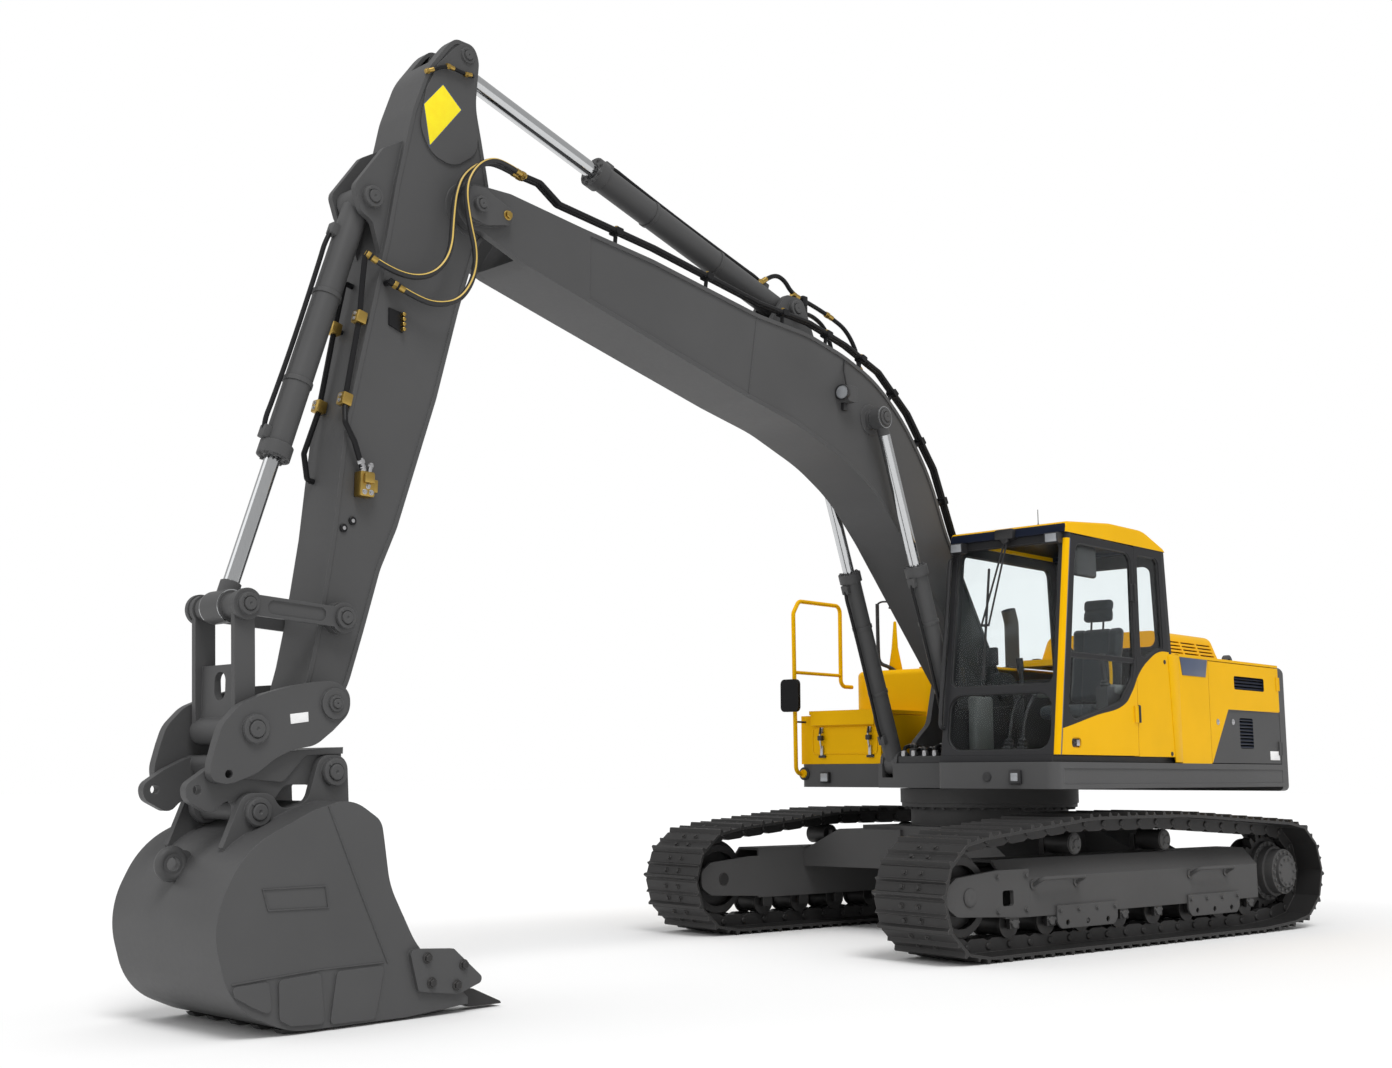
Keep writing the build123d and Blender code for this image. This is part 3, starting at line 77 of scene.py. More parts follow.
# Paint, and the line that parts the tail doors' colours
PEEL_SCALE = 260.0
MATT_GLOSS = 0.06
FIELD_TOP = 1.680
FIELD_CORNER = 1.671
FIELD_SLANT = 0.746

# Pins as X and Z, and the sides of the boom's cylinders and of the bucket as Y
BOOM_FOOT = (0.200, 1.800)
ARM_PIVOT = (5.330, 4.292)
BOOM_CYL_BASE = (0.800, 1.250)
BOOM_CYL_EYE = (1.720, 3.676)
BOOM_CYL_Y = (0.300, -0.300)
ARM_CYL_BASE = (2.450, 4.350)
ARM_CYL_EYE = (5.360, 5.190)
BUCKET_CYL_BASE = (5.950, 4.200)
GUIDE_PIVOT = (6.096, 1.941)
LINK_PIN = (6.640, 1.970)
COUPLER_LINK = (6.609, 1.378)
ARM_TIP = (6.180, 1.510)
BUCKET_FRONT_PIN = (6.162, 1.180)
BUCKET_REAR_PIN = (6.573, 0.995)
LIFT_EYE = (6.845, 0.758)
BUCKET_SIDE = 0.481

# Undercarriage, drawn square and turned with the tracks
TRACK_YAW = -7.2
HALF_GAUGE = 1.195
IDLER = (1.830, 0.400)
SPROCKET = (-1.830, 0.430)
ROLLER_X = (1.390, 1.010, 0.630, 0.210, -0.190, -0.610, -1.010, -1.370)
ROLLER_Z = 0.213
CARRIER_X = (0.650, -0.400)
CARRIER_Z = 0.705
SHOE_WIDTH_MIN = 0.59
FLAT_MIN = 0.045
FLAT_MAX = 0.075
FRONT_FLAT = 0.0625
HINGE_BACK = 0.068
HINGE_DEPTH = 0.056

# Cab and house
CAB_FRONT = 1.225
CAB_LEAN = 0.145
DECK_TOP = 1.255
PILLAR_LOW = 1.304
PILLAR_TOP = 2.790
SEAT_Y = 0.870
TAIL_LOCKS = ((-1.170, 1.346, 1.577), (-1.451, 1.339, 1.584))

# Cushions
CUSHION_VOXEL = 0.007
CUSHION_PRESSURE = 4.0
CUSHION_FRAMES = 20
SEAM_DEPTH = 0.009
SEAM_WIDTH = 0.010

# Meshes: least turn of a rounded edge, distance of doubled points, planes for rings of bolts
SHARP_TURN = 0.3
MERGE_DISTANCE = 1e-5
SIDE_PLANE = ((1, 0, 0), (0, 0, 1))
LEVEL_PLANE = ((1, 0, 0), (0, 1, 0))

# Hoses from the boom's pipes to the arm, by the points of their routes
HOSE_DIAMETER = 0.032
HOSES = {
    "hose_inner": (1.507, (
        (5.000, 0.184, 4.577), (5.130, 0.192, 4.596), (5.265, 0.205, 4.576), (5.427, 0.238, 4.446),
        (5.479, 0.240, 4.322), (5.495, 0.240, 4.178), (5.503, 0.240, 3.978), (5.588, 0.236, 3.845),
        (5.722, 0.225, 3.783), (5.875, 0.198, 3.803), (5.960, 0.165, 3.855))),
    "hose_outer": (1.610, (
        (5.000, 0.218, 4.577), (5.135, 0.232, 4.600), (5.265, 0.262, 4.574), (5.385, 0.285, 4.484),
        (5.455, 0.290, 4.345), (5.424, 0.290, 4.165), (5.362, 0.286, 3.985), (5.378, 0.278, 3.835),
        (5.462, 0.264, 3.705), (5.600, 0.246, 3.660), (5.720, 0.228, 3.678), (5.812, 0.205, 3.720))),
}


# Materials

def new_material(name):
    """Material with a Principled shader, as (material, node tree, shader)."""
    mat = bpy.data.materials.new(name)
    mat.use_nodes = True
    return mat, mat.node_tree, mat.node_tree.nodes["Principled BSDF"]


def feed(tree, node, inputs):
    """Set a node's inputs by name or number, each from another socket or from a constant."""
    for key, value in inputs.items():
        if hasattr(value, "links"):
            tree.links.new(value, node.inputs[key])
        else:
            node.inputs[key].default_value = value


def add(tree, kind, inputs, **settings):
    """New node of a kind, with its settings and its inputs."""
    node = tree.nodes.new(f"ShaderNode{kind}")
    for key, value in settings.items():
        setattr(node, key, value)
    feed(tree, node, inputs)
    return node


def noise(tree, coords, scale, detail):
    """Noise texture on the given coordinates."""
    return add(tree, "TexNoise", {"Vector": coords, "Scale": scale, "Detail": detail}).outputs["Fac"]


def wave(tree, coords, scale, direction):
    """Bands across one direction."""
    bands = add(tree, "TexWave", {"Vector": coords, "Scale": scale}, bands_direction=direction)
    return bands.outputs["Fac"]


def span(tree, value, low, high):
    """Map a 0 to 1 value on to a range."""
    return add(tree, "MapRange", {"Value": value, "To Min": low, "To Max": high}).outputs["Result"]


def mix(tree, factor, a, b):
    """Colour between a and b."""
    return add(tree, "Mix", {"Factor": factor, 6: a, 7: b}, data_type="RGBA").outputs[2]


def math_node(tree, operation, a, b, clamp=False):
    """Math on two sockets or numbers."""
    return add(tree, "Math", {0: a, 1: b}, operation=operation, use_clamp=clamp).outputs[0]


def bump(tree, height, strength, distance, under=None):
    """Bump from a height, on top of another normal if one is given."""
    inputs = {"Height": height, "Strength": strength, "Distance": distance}
    if under is not None:
        inputs["Normal"] = under
    return add(tree, "Bump", inputs).outputs["Normal"]


def coordinates(tree):
    """Object coordinates, which are the frame's metres on every piece."""
    return add(tree, "TexCoord", {}).outputs["Object"]


def position(tree):
    """X, Y and Z of the shading point in the frame."""
    return add(tree, "SeparateXYZ", {0: coordinates(tree)}).outputs


def shade(color, factor, lift=0.0):
    """Colour made lighter or darker."""
    return tuple(min(1.0, c * factor + lift) for c in color[:3]) + (1,)


def wear_and_highlight_mask(tree, radius, gain):
    """Mask of edges painted lighter, as worn paint and as painted highlight, from how far a bevelled
    normal leaves the true one; with that normal.
    """
    rounded = add(tree, "Bevel", {"Radius": radius}, samples=4).outputs["Normal"]
    true = add(tree, "NewGeometry", {}).outputs["Normal"]
    dot = add(tree, "VectorMath", {0: rounded, 1: true}, operation="DOT_PRODUCT").outputs["Value"]
    away = math_node(tree, "SUBTRACT", 1.0, dot)
    return math_node(tree, "MULTIPLY", away, gain, clamp=True), rounded


def finish_paint(tree, shader, color, edge, rough, bevel, wear_and_highlight, gloss):
    """Colour, roughness and bump of a paint whose colour is a socket or a constant."""
    coords = coordinates(tree)
    mask, rounded = wear_and_highlight_mask(tree, bevel, wear_and_highlight)
    cloud = span(tree, noise(tree, coords, 1.7, 5.0), 0.86, 1.12)
    plain = color if hasattr(color, "links") else color[:3]
    tinted = add(tree, "VectorMath", {0: plain, "Scale": cloud}, operation="SCALE").outputs["Vector"]
    scuff = noise(tree, coords, 38.0, 6.0)
    # Edges mixed towards the lighter edge colour: worn paint, and a painted highlight where edges catch
    # the light
    worn_and_highlit = math_node(tree, "MULTIPLY", mask, span(tree, scuff, 0.25, 1.0))
    peel = noise(tree, coords, PEEL_SCALE, 2.0)
    feed(tree, shader, {
        "Base Color": mix(tree, worn_and_highlit, tinted, edge),
        "Roughness": span(tree, scuff, rough - 0.06, rough + 0.08),
        "Specular IOR Level": gloss,
        "Normal": bump(tree, peel, 0.12, 0.0006, rounded)})


def painted(name, color, edge, rough, bevel=0.006, wear_and_highlight=1.6, metallic=0.0, gloss=0.15):
    """Sprayed paint: faint cloudiness, orange peel, and lighter edges, which are partly rubbed paint and
    partly painted highlight.
    """
    mat, tree, shader = new_material(name)
    finish_paint(tree, shader, color, edge, rough, bevel, wear_and_highlight, gloss)
    feed(tree, shader, {"Metallic": metallic})
    return mat


def layered(name, base, *layers):
    """Paint of several colours: each layer is a mask in the frame's coordinates and its colour."""
    mat, tree, shader = new_material(name)
    color = base
    for mask, tone in layers:
        color = mix(tree, mask(tree), color, tone)
    # Lighter edge colour, for worn paint and for painted highlight
    edge = mix(tree, 0.25, color, (0.8, 0.8, 0.8, 1))
    finish_paint(tree, shader, color, edge, 0.36, 0.005, 1.2, MATT_GLOSS)
    return mat


def side_curve_mask(tree):
    """1 below the sweeping line that parts the yellow cab panels from the dark window frame."""
    x, _, z = position(tree)
    left, right, low, high = -0.6, 1.3, 1.2, 2.2
    across = math_node(tree, "DIVIDE", math_node(tree, "SUBTRACT", x, left), right - left)
    curve = add(tree, "FloatCurve", {"Value": across})
    line = curve.mapping.curves[0]
    while len(line.points) < len(SIDE_CURVE):
        line.points.new(0.5, 0.5)
    for dot, (px, pz) in zip(line.points, SIDE_CURVE):
        dot.location = ((px - left) / (right - left), (pz - low) / (high - low))
    curve.mapping.update()
    return math_node(tree, "LESS_THAN", z, span(tree, curve.outputs["Value"], low, high))


def lower_field_mask(top_x):
    """Mask of the grey lower corner of a tail door, under a level line and behind a slanting one."""
    def mask(tree):
        x, _, z = position(tree)
        under = math_node(tree, "LESS_THAN", z, FIELD_TOP)
        below = math_node(tree, "SUBTRACT", FIELD_CORNER, z)
        slant = math_node(tree, "MULTIPLY", below, FIELD_SLANT)
        behind = math_node(tree, "LESS_THAN", x, math_node(tree, "ADD", slant, top_x))
        return math_node(tree, "MULTIPLY", under, behind)
    return mask


def box_mask(*boxes):
    """Mask of what lies inside any of the boxes, each given by its lowest and highest corner."""
    def mask(tree):
        place = position(tree)
        total = 0.0
        for low, high in boxes:
            inside = 1.0
            for value, a, b in zip(place, low, high):
                for operation, bound in (("GREATER_THAN", a), ("LESS_THAN", b)):
                    side = math_node(tree, operation, value, bound)
                    inside = math_node(tree, "MULTIPLY", side, inside)
            total = math_node(tree, "MAXIMUM", inside, total)
        return total
    return mask


def roof_mask(tree):
    """1 on the roof's outer skin, 0 on its dark front visor and on its underside."""
    normal = add(tree, "NewGeometry", {}).outputs["Normal"]
    nx, _, nz = add(tree, "SeparateXYZ", {0: normal}).outputs
    skin = math_node(tree, "LESS_THAN", nx, 0.75)
    return math_node(tree, "MULTIPLY", skin, math_node(tree, "GREATER_THAN", nz, -0.6))


def metal(name, color, rough, scratch=60.0, stretch=(1, 1, 1)):
    """Bare metal with fine streaks."""
    mat, tree, shader = new_material(name)
    stretched = add(tree, "Mapping", {"Vector": coordinates(tree), "Scale": stretch}).outputs["Vector"]
    streak = noise(tree, stretched, scratch, 6.0)
    feed(tree, shader, {
        "Base Color": mix(tree, streak, color, shade(color, 0.8)),
        "Metallic": 1.0,
        "Roughness": span(tree, streak, rough * 0.7, rough * 1.5),
        "Normal": bump(tree, streak, 0.04, 0.0005)})
    return mat


def plastic(name, color, rough, grain=900.0, depth=0.25):
    """Moulded plastic or rubber with a fine grain."""
    mat, tree, shader = new_material(name)
    coords = coordinates(tree)
    cloud = noise(tree, coords, 9.0, 4.0)
    feed(tree, shader, {
        "Base Color": mix(tree, cloud, color, shade(color, 1.5, 0.004)),
        "Roughness": span(tree, cloud, rough - 0.08, rough + 0.08),
        "Normal": bump(tree, noise(tree, coords, grain, 2.0), depth, 0.0008)})
    return mat


def glass(name, tint):
    """Tinted cab glass."""
    mat, tree, shader = new_material(name)
    haze = noise(tree, coordinates(tree), 3.0, 5.0)
    feed(tree, shader, {
        "Base Color": mix(tree, haze, tint, shade(tint, 0.93)),
        "Roughness": span(tree, haze, 0.0, 0.012),
        "Transmission Weight": 1.0,
        "IOR": 1.12})
    return mat


def cloth(name, color):
    """Woven seat cloth."""
    mat, tree, shader = new_material(name)
    coords = coordinates(tree)
    weave = math_node(tree, "MULTIPLY", wave(tree, coords, 110.0, "X"), wave(tree, coords, 110.0, "Z"))
    feed(tree, shader, {
        "Base Color": mix(tree, weave, color, shade(color, 2.2)),
        "Roughness": 0.85,
        "Sheen Weight": 0.3,
        "Normal": bump(tree, weave, 0.4, 0.001)})
    return mat


def lens(name):
    """Ribbed lamp lens."""
    mat, tree, shader = new_material(name)
    ribs = wave(tree, coordinates(tree), 60.0, "Y")
    feed(tree, shader, {
        "Base Color": mix(tree, ribs, (0.52, 0.54, 0.56, 1), (0.24, 0.25, 0.27, 1)),
        "Roughness": 0.12,
        "Metallic": 0.3,
        "Normal": bump(tree, ribs, 0.5, 0.002)})
    return mat


SIDE_CURVE = ((-0.6, 2.075), (-0.46, 2.075), (-0.275, 2.07), (-0.10, 2.0), (0.045, 1.90),
              (0.17, 1.755), (0.286, 1.665), (0.70, 1.575), (1.16, 1.475), (1.3, 1.45))
TAIL_GRILLES = (((-2.050, 1.300, 1.836), (-1.480, 1.3445, 1.954)),
                ((-1.822, 1.300, 1.368), (-1.560, 1.3375, 1.626)))
MIRROR_BOX = ((0.790, -1.500, 1.600), (0.900, -1.200, 2.000))

CHARCOAL_PAINT = painted("charcoal_paint", CHARCOAL, CHARCOAL_EDGE, 0.42)
YELLOW_PAINT = painted("yellow_paint", YELLOW, YELLOW_EDGE, 0.34, wear_and_highlight=1.0, gloss=MATT_GLOSS)
UNDER_PAINT = painted("undercarriage_paint", UNDER_GREY, UNDER_EDGE, 0.50, bevel=0.008)
TRACK_STEEL = painted("track_steel", SHOE_GREY, SHOE_EDGE, 0.44, wear_and_highlight=2.4, metallic=0.55)
FRAME_BLACK = painted("cab_frame_black", FRAME_GREY, (0.10, 0.10, 0.105, 1), 0.40)
PIPE_BLACK = painted("pipe_black", BLACK, (0.06, 0.06, 0.062, 1), 0.34, bevel=0.003)
DOOR_PAINT = layered("door_paint", FRAME_GREY, (side_curve_mask, YELLOW))
REAR_PAINT = layered("rear_panel_paint", YELLOW, (lower_field_mask(-1.360), CHARCOAL),
                     (box_mask(*TAIL_GRILLES), NAVY))
PUMP_PAINT = layered("pump_door_paint", YELLOW, (lower_field_mask(-1.018), CHARCOAL))
RAIL_PAINT = layered("handrail_paint", YELLOW, (box_mask(MIRROR_BOX), BLACK))
ROOF_PAINT = layered("roof_paint", NAVY, (roof_mask, YELLOW))
CHROME = metal("chrome_rod", (0.62, 0.63, 0.64, 1), 0.12, 220.0, (1, 1, 0.1))
ZINC = metal("zinc_plate", (0.55, 0.55, 0.56, 1), 0.34)
BRASS = metal("brass_fitting", (0.50, 0.335, 0.09, 1), 0.34)
IRON = painted("engine_iron", (0.05, 0.052, 0.055, 1), (0.15, 0.15, 0.15, 1), 0.6)
GLASS = glass("tinted_glass", (0.945, 0.982, 0.988, 1))
BLACK_PLASTIC = plastic("black_plastic", BLACK, 0.48)
RUBBER = plastic("hose_rubber", (0.012, 0.012, 0.013, 1), 0.55, 700.0, 0.15)
STRIPE = plastic("hose_stripe", (0.52, 0.36, 0.08, 1), 0.5, 700.0, 0.1)
TRIM = plastic("cab_trim", (0.10, 0.105, 0.10, 1), 0.62)
SEAT_CLOTH = cloth("seat_cloth", (0.028, 0.033, 0.038, 1))
SIGN_YELLOW = plastic("sign_yellow", (0.90, 0.62, 0.0, 1), 0.42, 500.0, 0.05)
SIGN_WHITE = plastic("sign_white", (0.70, 0.70, 0.70, 1), 0.45, 500.0, 0.05)
BADGE_BLUE = plastic("badge_blue", (0.045, 0.062, 0.11, 1), 0.38, 500.0, 0.05)
LENS = lens("lamp_lens")

NODE_LOOKS = {
    CHARCOAL_PAINT: ("boom", "arm", "boom_cylinder_barrels", "arm_cylinder_barrel",
                     "bucket_cylinder_barrel", "guide_links", "bucket_link", "coupler", "bucket",
                     "deck", "counterweight"),
    UNDER_PAINT: ("carbody", "track_frame_left", "track_frame_right", "final_drives", "track_steps",
                  "slew_ring"),
    TRACK_STEEL: ("track_left", "track_right", "idlers", "sprockets", "track_rollers",
                  "carrier_rollers", "bucket_teeth"),
    YELLOW_PAINT: ("left_panel", "right_panel", "engine_hood", "toolbox", "toolbox_lid", "fuel_tank"),
    REAR_PAINT: ("radiator_door",),
    PUMP_PAINT: ("pump_door",),
    RAIL_PAINT: ("handrail",),
    DOOR_PAINT: ("cab_left", "cab_door"),
    FRAME_BLACK: ("cab_front", "cab_right", "cab_rear", "cab_floor"),
    ROOF_PAINT: ("cab_roof",),
    CHROME: ("boom_cylinder_rods", "arm_cylinder_rod", "bucket_cylinder_rod"),
    IRON: ("engine_block", "exhaust"),
    GLASS: ("cab_glass", "cab_rear_glass", "door_glass"),
    SEAT_CLOTH: ("seat",),
    BLACK_PLASTIC: ("controls", "wiper", "work_lamps"),
    PIPE_BLACK: ("boom_pipes", "arm_pipes"),
    RUBBER: ("hose_inner", "hose_outer"),
}
for look, names in NODE_LOOKS.items():
    for name in names:
        mesh = NODES[name].data
        mesh.materials.clear()
        mesh.materials.append(look)


# Shapes, each added to a bmesh

def new_object(name, bm):
    """Object in the scene from a bmesh."""
    bmesh.ops.recalc_face_normals(bm, faces=bm.faces)
    mesh = bpy.data.meshes.new(name)
    bm.to_mesh(mesh)
    bm.free()
    obj = bpy.data.objects.new(name, mesh)
    SCENE.collection.objects.link(obj)
    return obj


def finish(name, bm, look, body, sharp=35.0):
    """Piece from a bmesh, with a look, which rides on a body if one is given."""
    piece = new_object(name, bm)
    piece.data.shade_smooth()
    piece.data.set_sharp_from_angle(angle=math.radians(sharp))
    piece.data.materials.append(look)
    if body:
        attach(piece, body)
    return piece


def merge(bm, part, place=None):
    """Add a finished part, given as a bmesh or a mesh, to a piece."""
    if isinstance(part, bmesh.types.BMesh):
        mesh = bpy.data.meshes.new("part")
        part.to_mesh(mesh)
        part.free()
    else:
        mesh = part
    if place is not None:
        mesh.transform(place)
    bm.from_mesh(mesh)
    bpy.data.meshes.remove(mesh)


def stand(at, up, ahead=(0, 0, 1)):
    """Placement at a point, with its Z along up and its X as near ahead as it can be."""
    z = Vector(up).normalized()
    x = Vector(ahead) - z * z.dot(Vector(ahead))
    x = x.normalized() if x.length > 1e-4 else z.orthogonal().normalized()
    return Matrix.Translation(at) @ Matrix((x, z.cross(x), z)).transposed().to_4x4()


def turned(bm, profile, place, steps=20):
    """Turned shape, from (radius, height) points up its own axis; a radius of 0 closes it."""
    rings = []
    turns = [2 * math.pi / steps * i for i in range(steps)]
    for radius, height in profile:
        dots = [(radius * math.cos(t), radius * math.sin(t), height) for t in turns]
        if not radius:
            dots = dots[:1]
        rings.append([bm.verts.new(place @ Vector(dot)) for dot in dots])
    for low, high in zip(rings, rings[1:]):
        for i in range(steps):
            j = (i + 1) % steps
            corners = (low[i % len(low)], low[j % len(low)], high[j % len(high)], high[i % len(high)])
            bm.faces.new(list(dict.fromkeys(corners)))


def bolt(bm, at, out, size):
    """Hexagon head on a washer; size is across its corners."""
    place = stand(at, out)
    turned(bm, ((0, -0.1 * size), (0.66 * size, -0.1 * size), (0.66 * size, 0.08 * size),
                (0.6 * size, 0.12 * size), (0, 0.12 * size)), place, 14)
    turned(bm, ((0, 0.1 * size), (0.5 * size, 0.1 * size), (0.5 * size, 0.44 * size),
                (0.4 * size, 0.52 * size), (0, 0.52 * size)), place, 6)


def bolt_ring(bm, middle, plane, radius, count, out, size, first=0.0):
    """Ring of bolts round a point, in the plane of two axes, from a first angle in degrees."""
    a, b = (Vector(axis) * radius for axis in plane)
    for i in range(count):
        turn = math.radians(first + 360 * i / count)
        bolt(bm, Vector(middle) + a * math.cos(turn) + b * math.sin(turn), out, size)


def rounded_edges(part, edge, segments):
    """Round every edge of a part that turns sharply enough."""
    edges = [e for e in part.edges if len(e.link_faces) == 2 and e.calc_face_angle() > SHARP_TURN]
    bmesh.ops.bevel(part, geom=edges, offset=edge, segments=segments, affect="EDGES", profile=0.5,
                    clamp_overlap=True)


def block(bm, low, high, edge, place=None, segments=2):
    """Box with rounded edges."""
    part = bmesh.new()
    middle = (Vector(low) + Vector(high)) / 2
    size = Vector(high) - Vector(low)
    bmesh.ops.create_cube(part, size=1.0, matrix=Matrix.Translation(middle) @ Matrix.Diagonal((*size, 1)))
    rounded_edges(part, edge, segments)
    merge(bm, part, place)


def slab(bm, outline, low, high, edge=0.002, axis="y", place=None):
    """Plate with rounded edges, from an outline across its axis, between two heights on it."""
    part = bmesh.new()
    order = {"x": (2, 0, 1), "y": (0, 2, 1), "z": (0, 1, 2)}[axis]
    rims = []
    for height in (low, high):
        dots = [(a, b, height) for a, b in outline]
        rims.append([part.verts.new([dot[i] for i in order]) for dot in dots])
    part.faces.new(rims[0])
    part.faces.new(rims[1][::-1])
    for i in range(len(outline)):
        j = (i + 1) % len(outline)
        part.faces.new((rims[0][i], rims[1][i], rims[1][j], rims[0][j]))
    bmesh.ops.recalc_face_normals(part, faces=part.faces)
    rounded_edges(part, edge, 2)
    merge(bm, part, place)


def plate(name, outline, low, high, edge, look, body, axis="y"):
    """Piece made of a single slab."""
    bm = bmesh.new()
    slab(bm, outline, low, high, edge, axis)
    finish(name, bm, look, body)


def spline_mesh(points, radius, smooth=True, loop=False, sides=4, radii=None):
    """Mesh of a round wire along a line through points; with no radius it is the bare line."""
    curve = bpy.data.curves.new("line", "CURVE")
    curve.dimensions = "3D"
    spline = curve.splines.new("NURBS" if smooth else "POLY")
    spline.points.add(len(points) - 1)
    for i, (dot, at) in enumerate(zip(spline.points, points)):
        dot.co = (*at, 1)
        dot.radius = radii[i] if radii else 1.0
    spline.use_cyclic_u = loop
    if smooth:
        spline.order_u = 3
        spline.use_endpoint_u = not loop
        spline.resolution_u = 10
    curve.bevel_depth = radius
    curve.bevel_resolution = sides
    curve.use_fill_caps = radius > 0 and not loop
    holder = bpy.data.objects.new("line", curve)
    mesh = bpy.data.meshes.new_from_object(holder)
    bpy.data.objects.remove(holder)
    bpy.data.curves.remove(curve)
    return mesh


def wire(bm, points, radius, **how):
    """Round bar along a line through points."""
    merge(bm, spline_mesh(points, radius, **how))


def weld(bm, points, radius=0.006, step=0.009):
    """Weld bead along straight runs, with its ripples."""
    dots = []
    for a, b in zip(points, points[1:]):
        a, b = Vector(a), Vector(b)
        count = max(2, round((b - a).length / step))
        dots += [a.lerp(b, i / count) for i in range(count)]
    dots.append(Vector(points[-1]))
    ripple = [1.0 if i % 2 else 0.72 for i in range(len(dots))]
    wire(bm, dots, radius, smooth=False, sides=1, radii=ripple)


def fitting(bm, at, along, radius):
    """Hose end: crimped sleeve, hexagon nut and collar, running on from a point."""
    place = stand(at, along)
    r = radius
    turned(bm, ((0, 0), (1.12 * r, 0), (1.22 * r, 0.5 * r), (1.12 * r, r), (1.22 * r, 1.5 * r),
                (1.12 * r, 2 * r), (1.22 * r, 2.5 * r), (1.1 * r, 3 * r), (0, 3 * r)), place, 18)
    turned(bm, ((0, 2.8 * r), (1.5 * r, 2.9 * r), (1.5 * r, 4.1 * r), (1.35 * r, 4.3 * r), (0, 4.3 * r)),
           place, 6)
    turned(bm, ((0, 4.2 * r), (1.15 * r, 4.2 * r), (1.15 * r, 4.9 * r), (0, 4.9 * r)), place, 18)


def pin_cap(bm, pin, y, radius):
    """End of a pin on both sides: a collar, the pin's own end with its centre, and a locking bolt."""
    for s in (1, -1):
        place = stand(upright(pin, s * y), (0, s, 0))
        r = radius
        turned(bm, ((0, -0.004), (r, -0.004), (r, 0.004), (0.94 * r, 0.008), (0.66 * r, 0.008),
                    (0.64 * r, 0.003), (0.60 * r, 0.003), (0.58 * r, 0.014), (0.53 * r, 0.017),
                    (0.16 * r, 0.017), (0.05 * r, 0.011), (0, 0.011)), place, 28)
        bolt(bm, (pin[0] + 0.80 * r * 0.7, s * (y + 0.007), pin[1] + 0.80 * r * 0.7), (0, s, 0), 0.24 * r)


def rim_loops(node, facing):
    """Closed lines round the faces of a thin pane that look a given way."""
    bm = bmesh.new()
    bm.from_mesh(NODES[node].data)
    bmesh.ops.remove_doubles(bm, verts=bm.verts, dist=MERGE_DISTANCE)
    facing = Vector(facing)
    front = {f for f in bm.faces if f.normal.dot(facing) > 0.9}
    ahead = {}
    for face in front:
        for side in face.loops:
            others = [f for f in side.edge.link_faces if f is not face]
            if all(f not in front for f in others):
                ahead[side.vert] = side.link_loop_next.vert
    loops = []
    while ahead:
        start = next(iter(ahead))
        loop = [start]
        step = ahead.pop(start)
        while step is not start and step in ahead:
            loop.append(step)
            step = ahead.pop(step)
        loops.append([v.co.copy() for v in loop])
    bm.free()
    return loops


def upright(pin, y=0.0):
    """Point in space of a pin, which is given by its X and Z."""
    return Vector((pin[0], y, pin[1]))


def lean(z, back=0.0):
    """X of the cab's front plane at a height."""
    return CAB_FRONT - CAB_LEAN * (z - DECK_TOP) - back


# Hoses between boom and arm

def build_hoses():
    """Each hose as a tube on its own spline, with its stripe and its end fittings."""
    for name, (length, route) in HOSES.items():
        path = [v.co.copy() for v in spline_mesh(route, 0.0).vertices]
        bm = bmesh.new()
        wire(bm, route, HOSE_DIAMETER / 2, sides=5)
        hose = finish(f"{name}_tube", bm, RUBBER, None)
        stripe = finish(f"{name}_stripe", stripe_band(path), STRIPE, None)
        for piece in (hose, stripe):
            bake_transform(piece)
        for body, at, back in (("boom", path[0], path[2]), ("arm", path[-1], path[-3])):
            bm = bmesh.new()
            fitting(bm, at.lerp(back, 0.9), at - back, HOSE_DIAMETER / 2)
            finish(f"{name}_{body}_fitting", bm, BRASS, body)
        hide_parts(name)


def stripe_band(path):
    """Raised stripe along the outer side of a hose."""
    bm = bmesh.new()
    rails = []
    for i, at in enumerate(path):
        run = path[min(i + 1, len(path) - 1)] - path[max(i - 1, 0)]
        out = Vector((0.2, 0.75, 0.6))
        out = (out - run * (out.dot(run) / run.length_squared)).normalized()
        across = run.normalized().cross(out)
        reach = HOSE_DIAMETER / 2 + 0.0012
        turns = [math.radians(a) for a in (-15, -5, 5, 15)]
        rays = [out * math.cos(t) + across * math.sin(t) for t in turns]
        rails.append([bm.verts.new(at + ray * reach) for ray in rays])
    for a, b in zip(rails, rails[1:]):
        for j in range(3):
            bm.faces.new((a[j], a[j + 1], b[j + 1], b[j]))
    return bm


# Pins, bolts and welds

def build_pins():
    """Pin ends with their collars, on the body that carries each pin."""
    caps = {
        "upper": ((BOOM_FOOT, 0.310, 0.085), (BOOM_CYL_BASE, 0.376, 0.052)),
        "boom_rods": ((BOOM_CYL_EYE, 0.351, 0.060),),
        "boom": ((ARM_PIVOT, 0.285, 0.045), (ARM_CYL_BASE, 0.150, 0.060)),
        "arm": ((ARM_CYL_EYE, 0.165, 0.047), (BUCKET_CYL_BASE, 0.150, 0.058), (GUIDE_PIVOT, 0.242, 0.054),
                (ARM_TIP, 0.3045, 0.040)),
        "guide_links": ((LINK_PIN, 0.242, 0.054),),
        "bucket": ((COUPLER_LINK, 0.300, 0.068), (BUCKET_FRONT_PIN, 0.292, 0.066),
                   (BUCKET_REAR_PIN, 0.292, 0.066)),
    }
    for body, ends in caps.items():
        bm = bmesh.new()
        for pin, y, radius in ends:
            pin_cap(bm, pin, y, radius)
        finish(f"pin_caps_{body}", bm, CHARCOAL_PAINT, body)


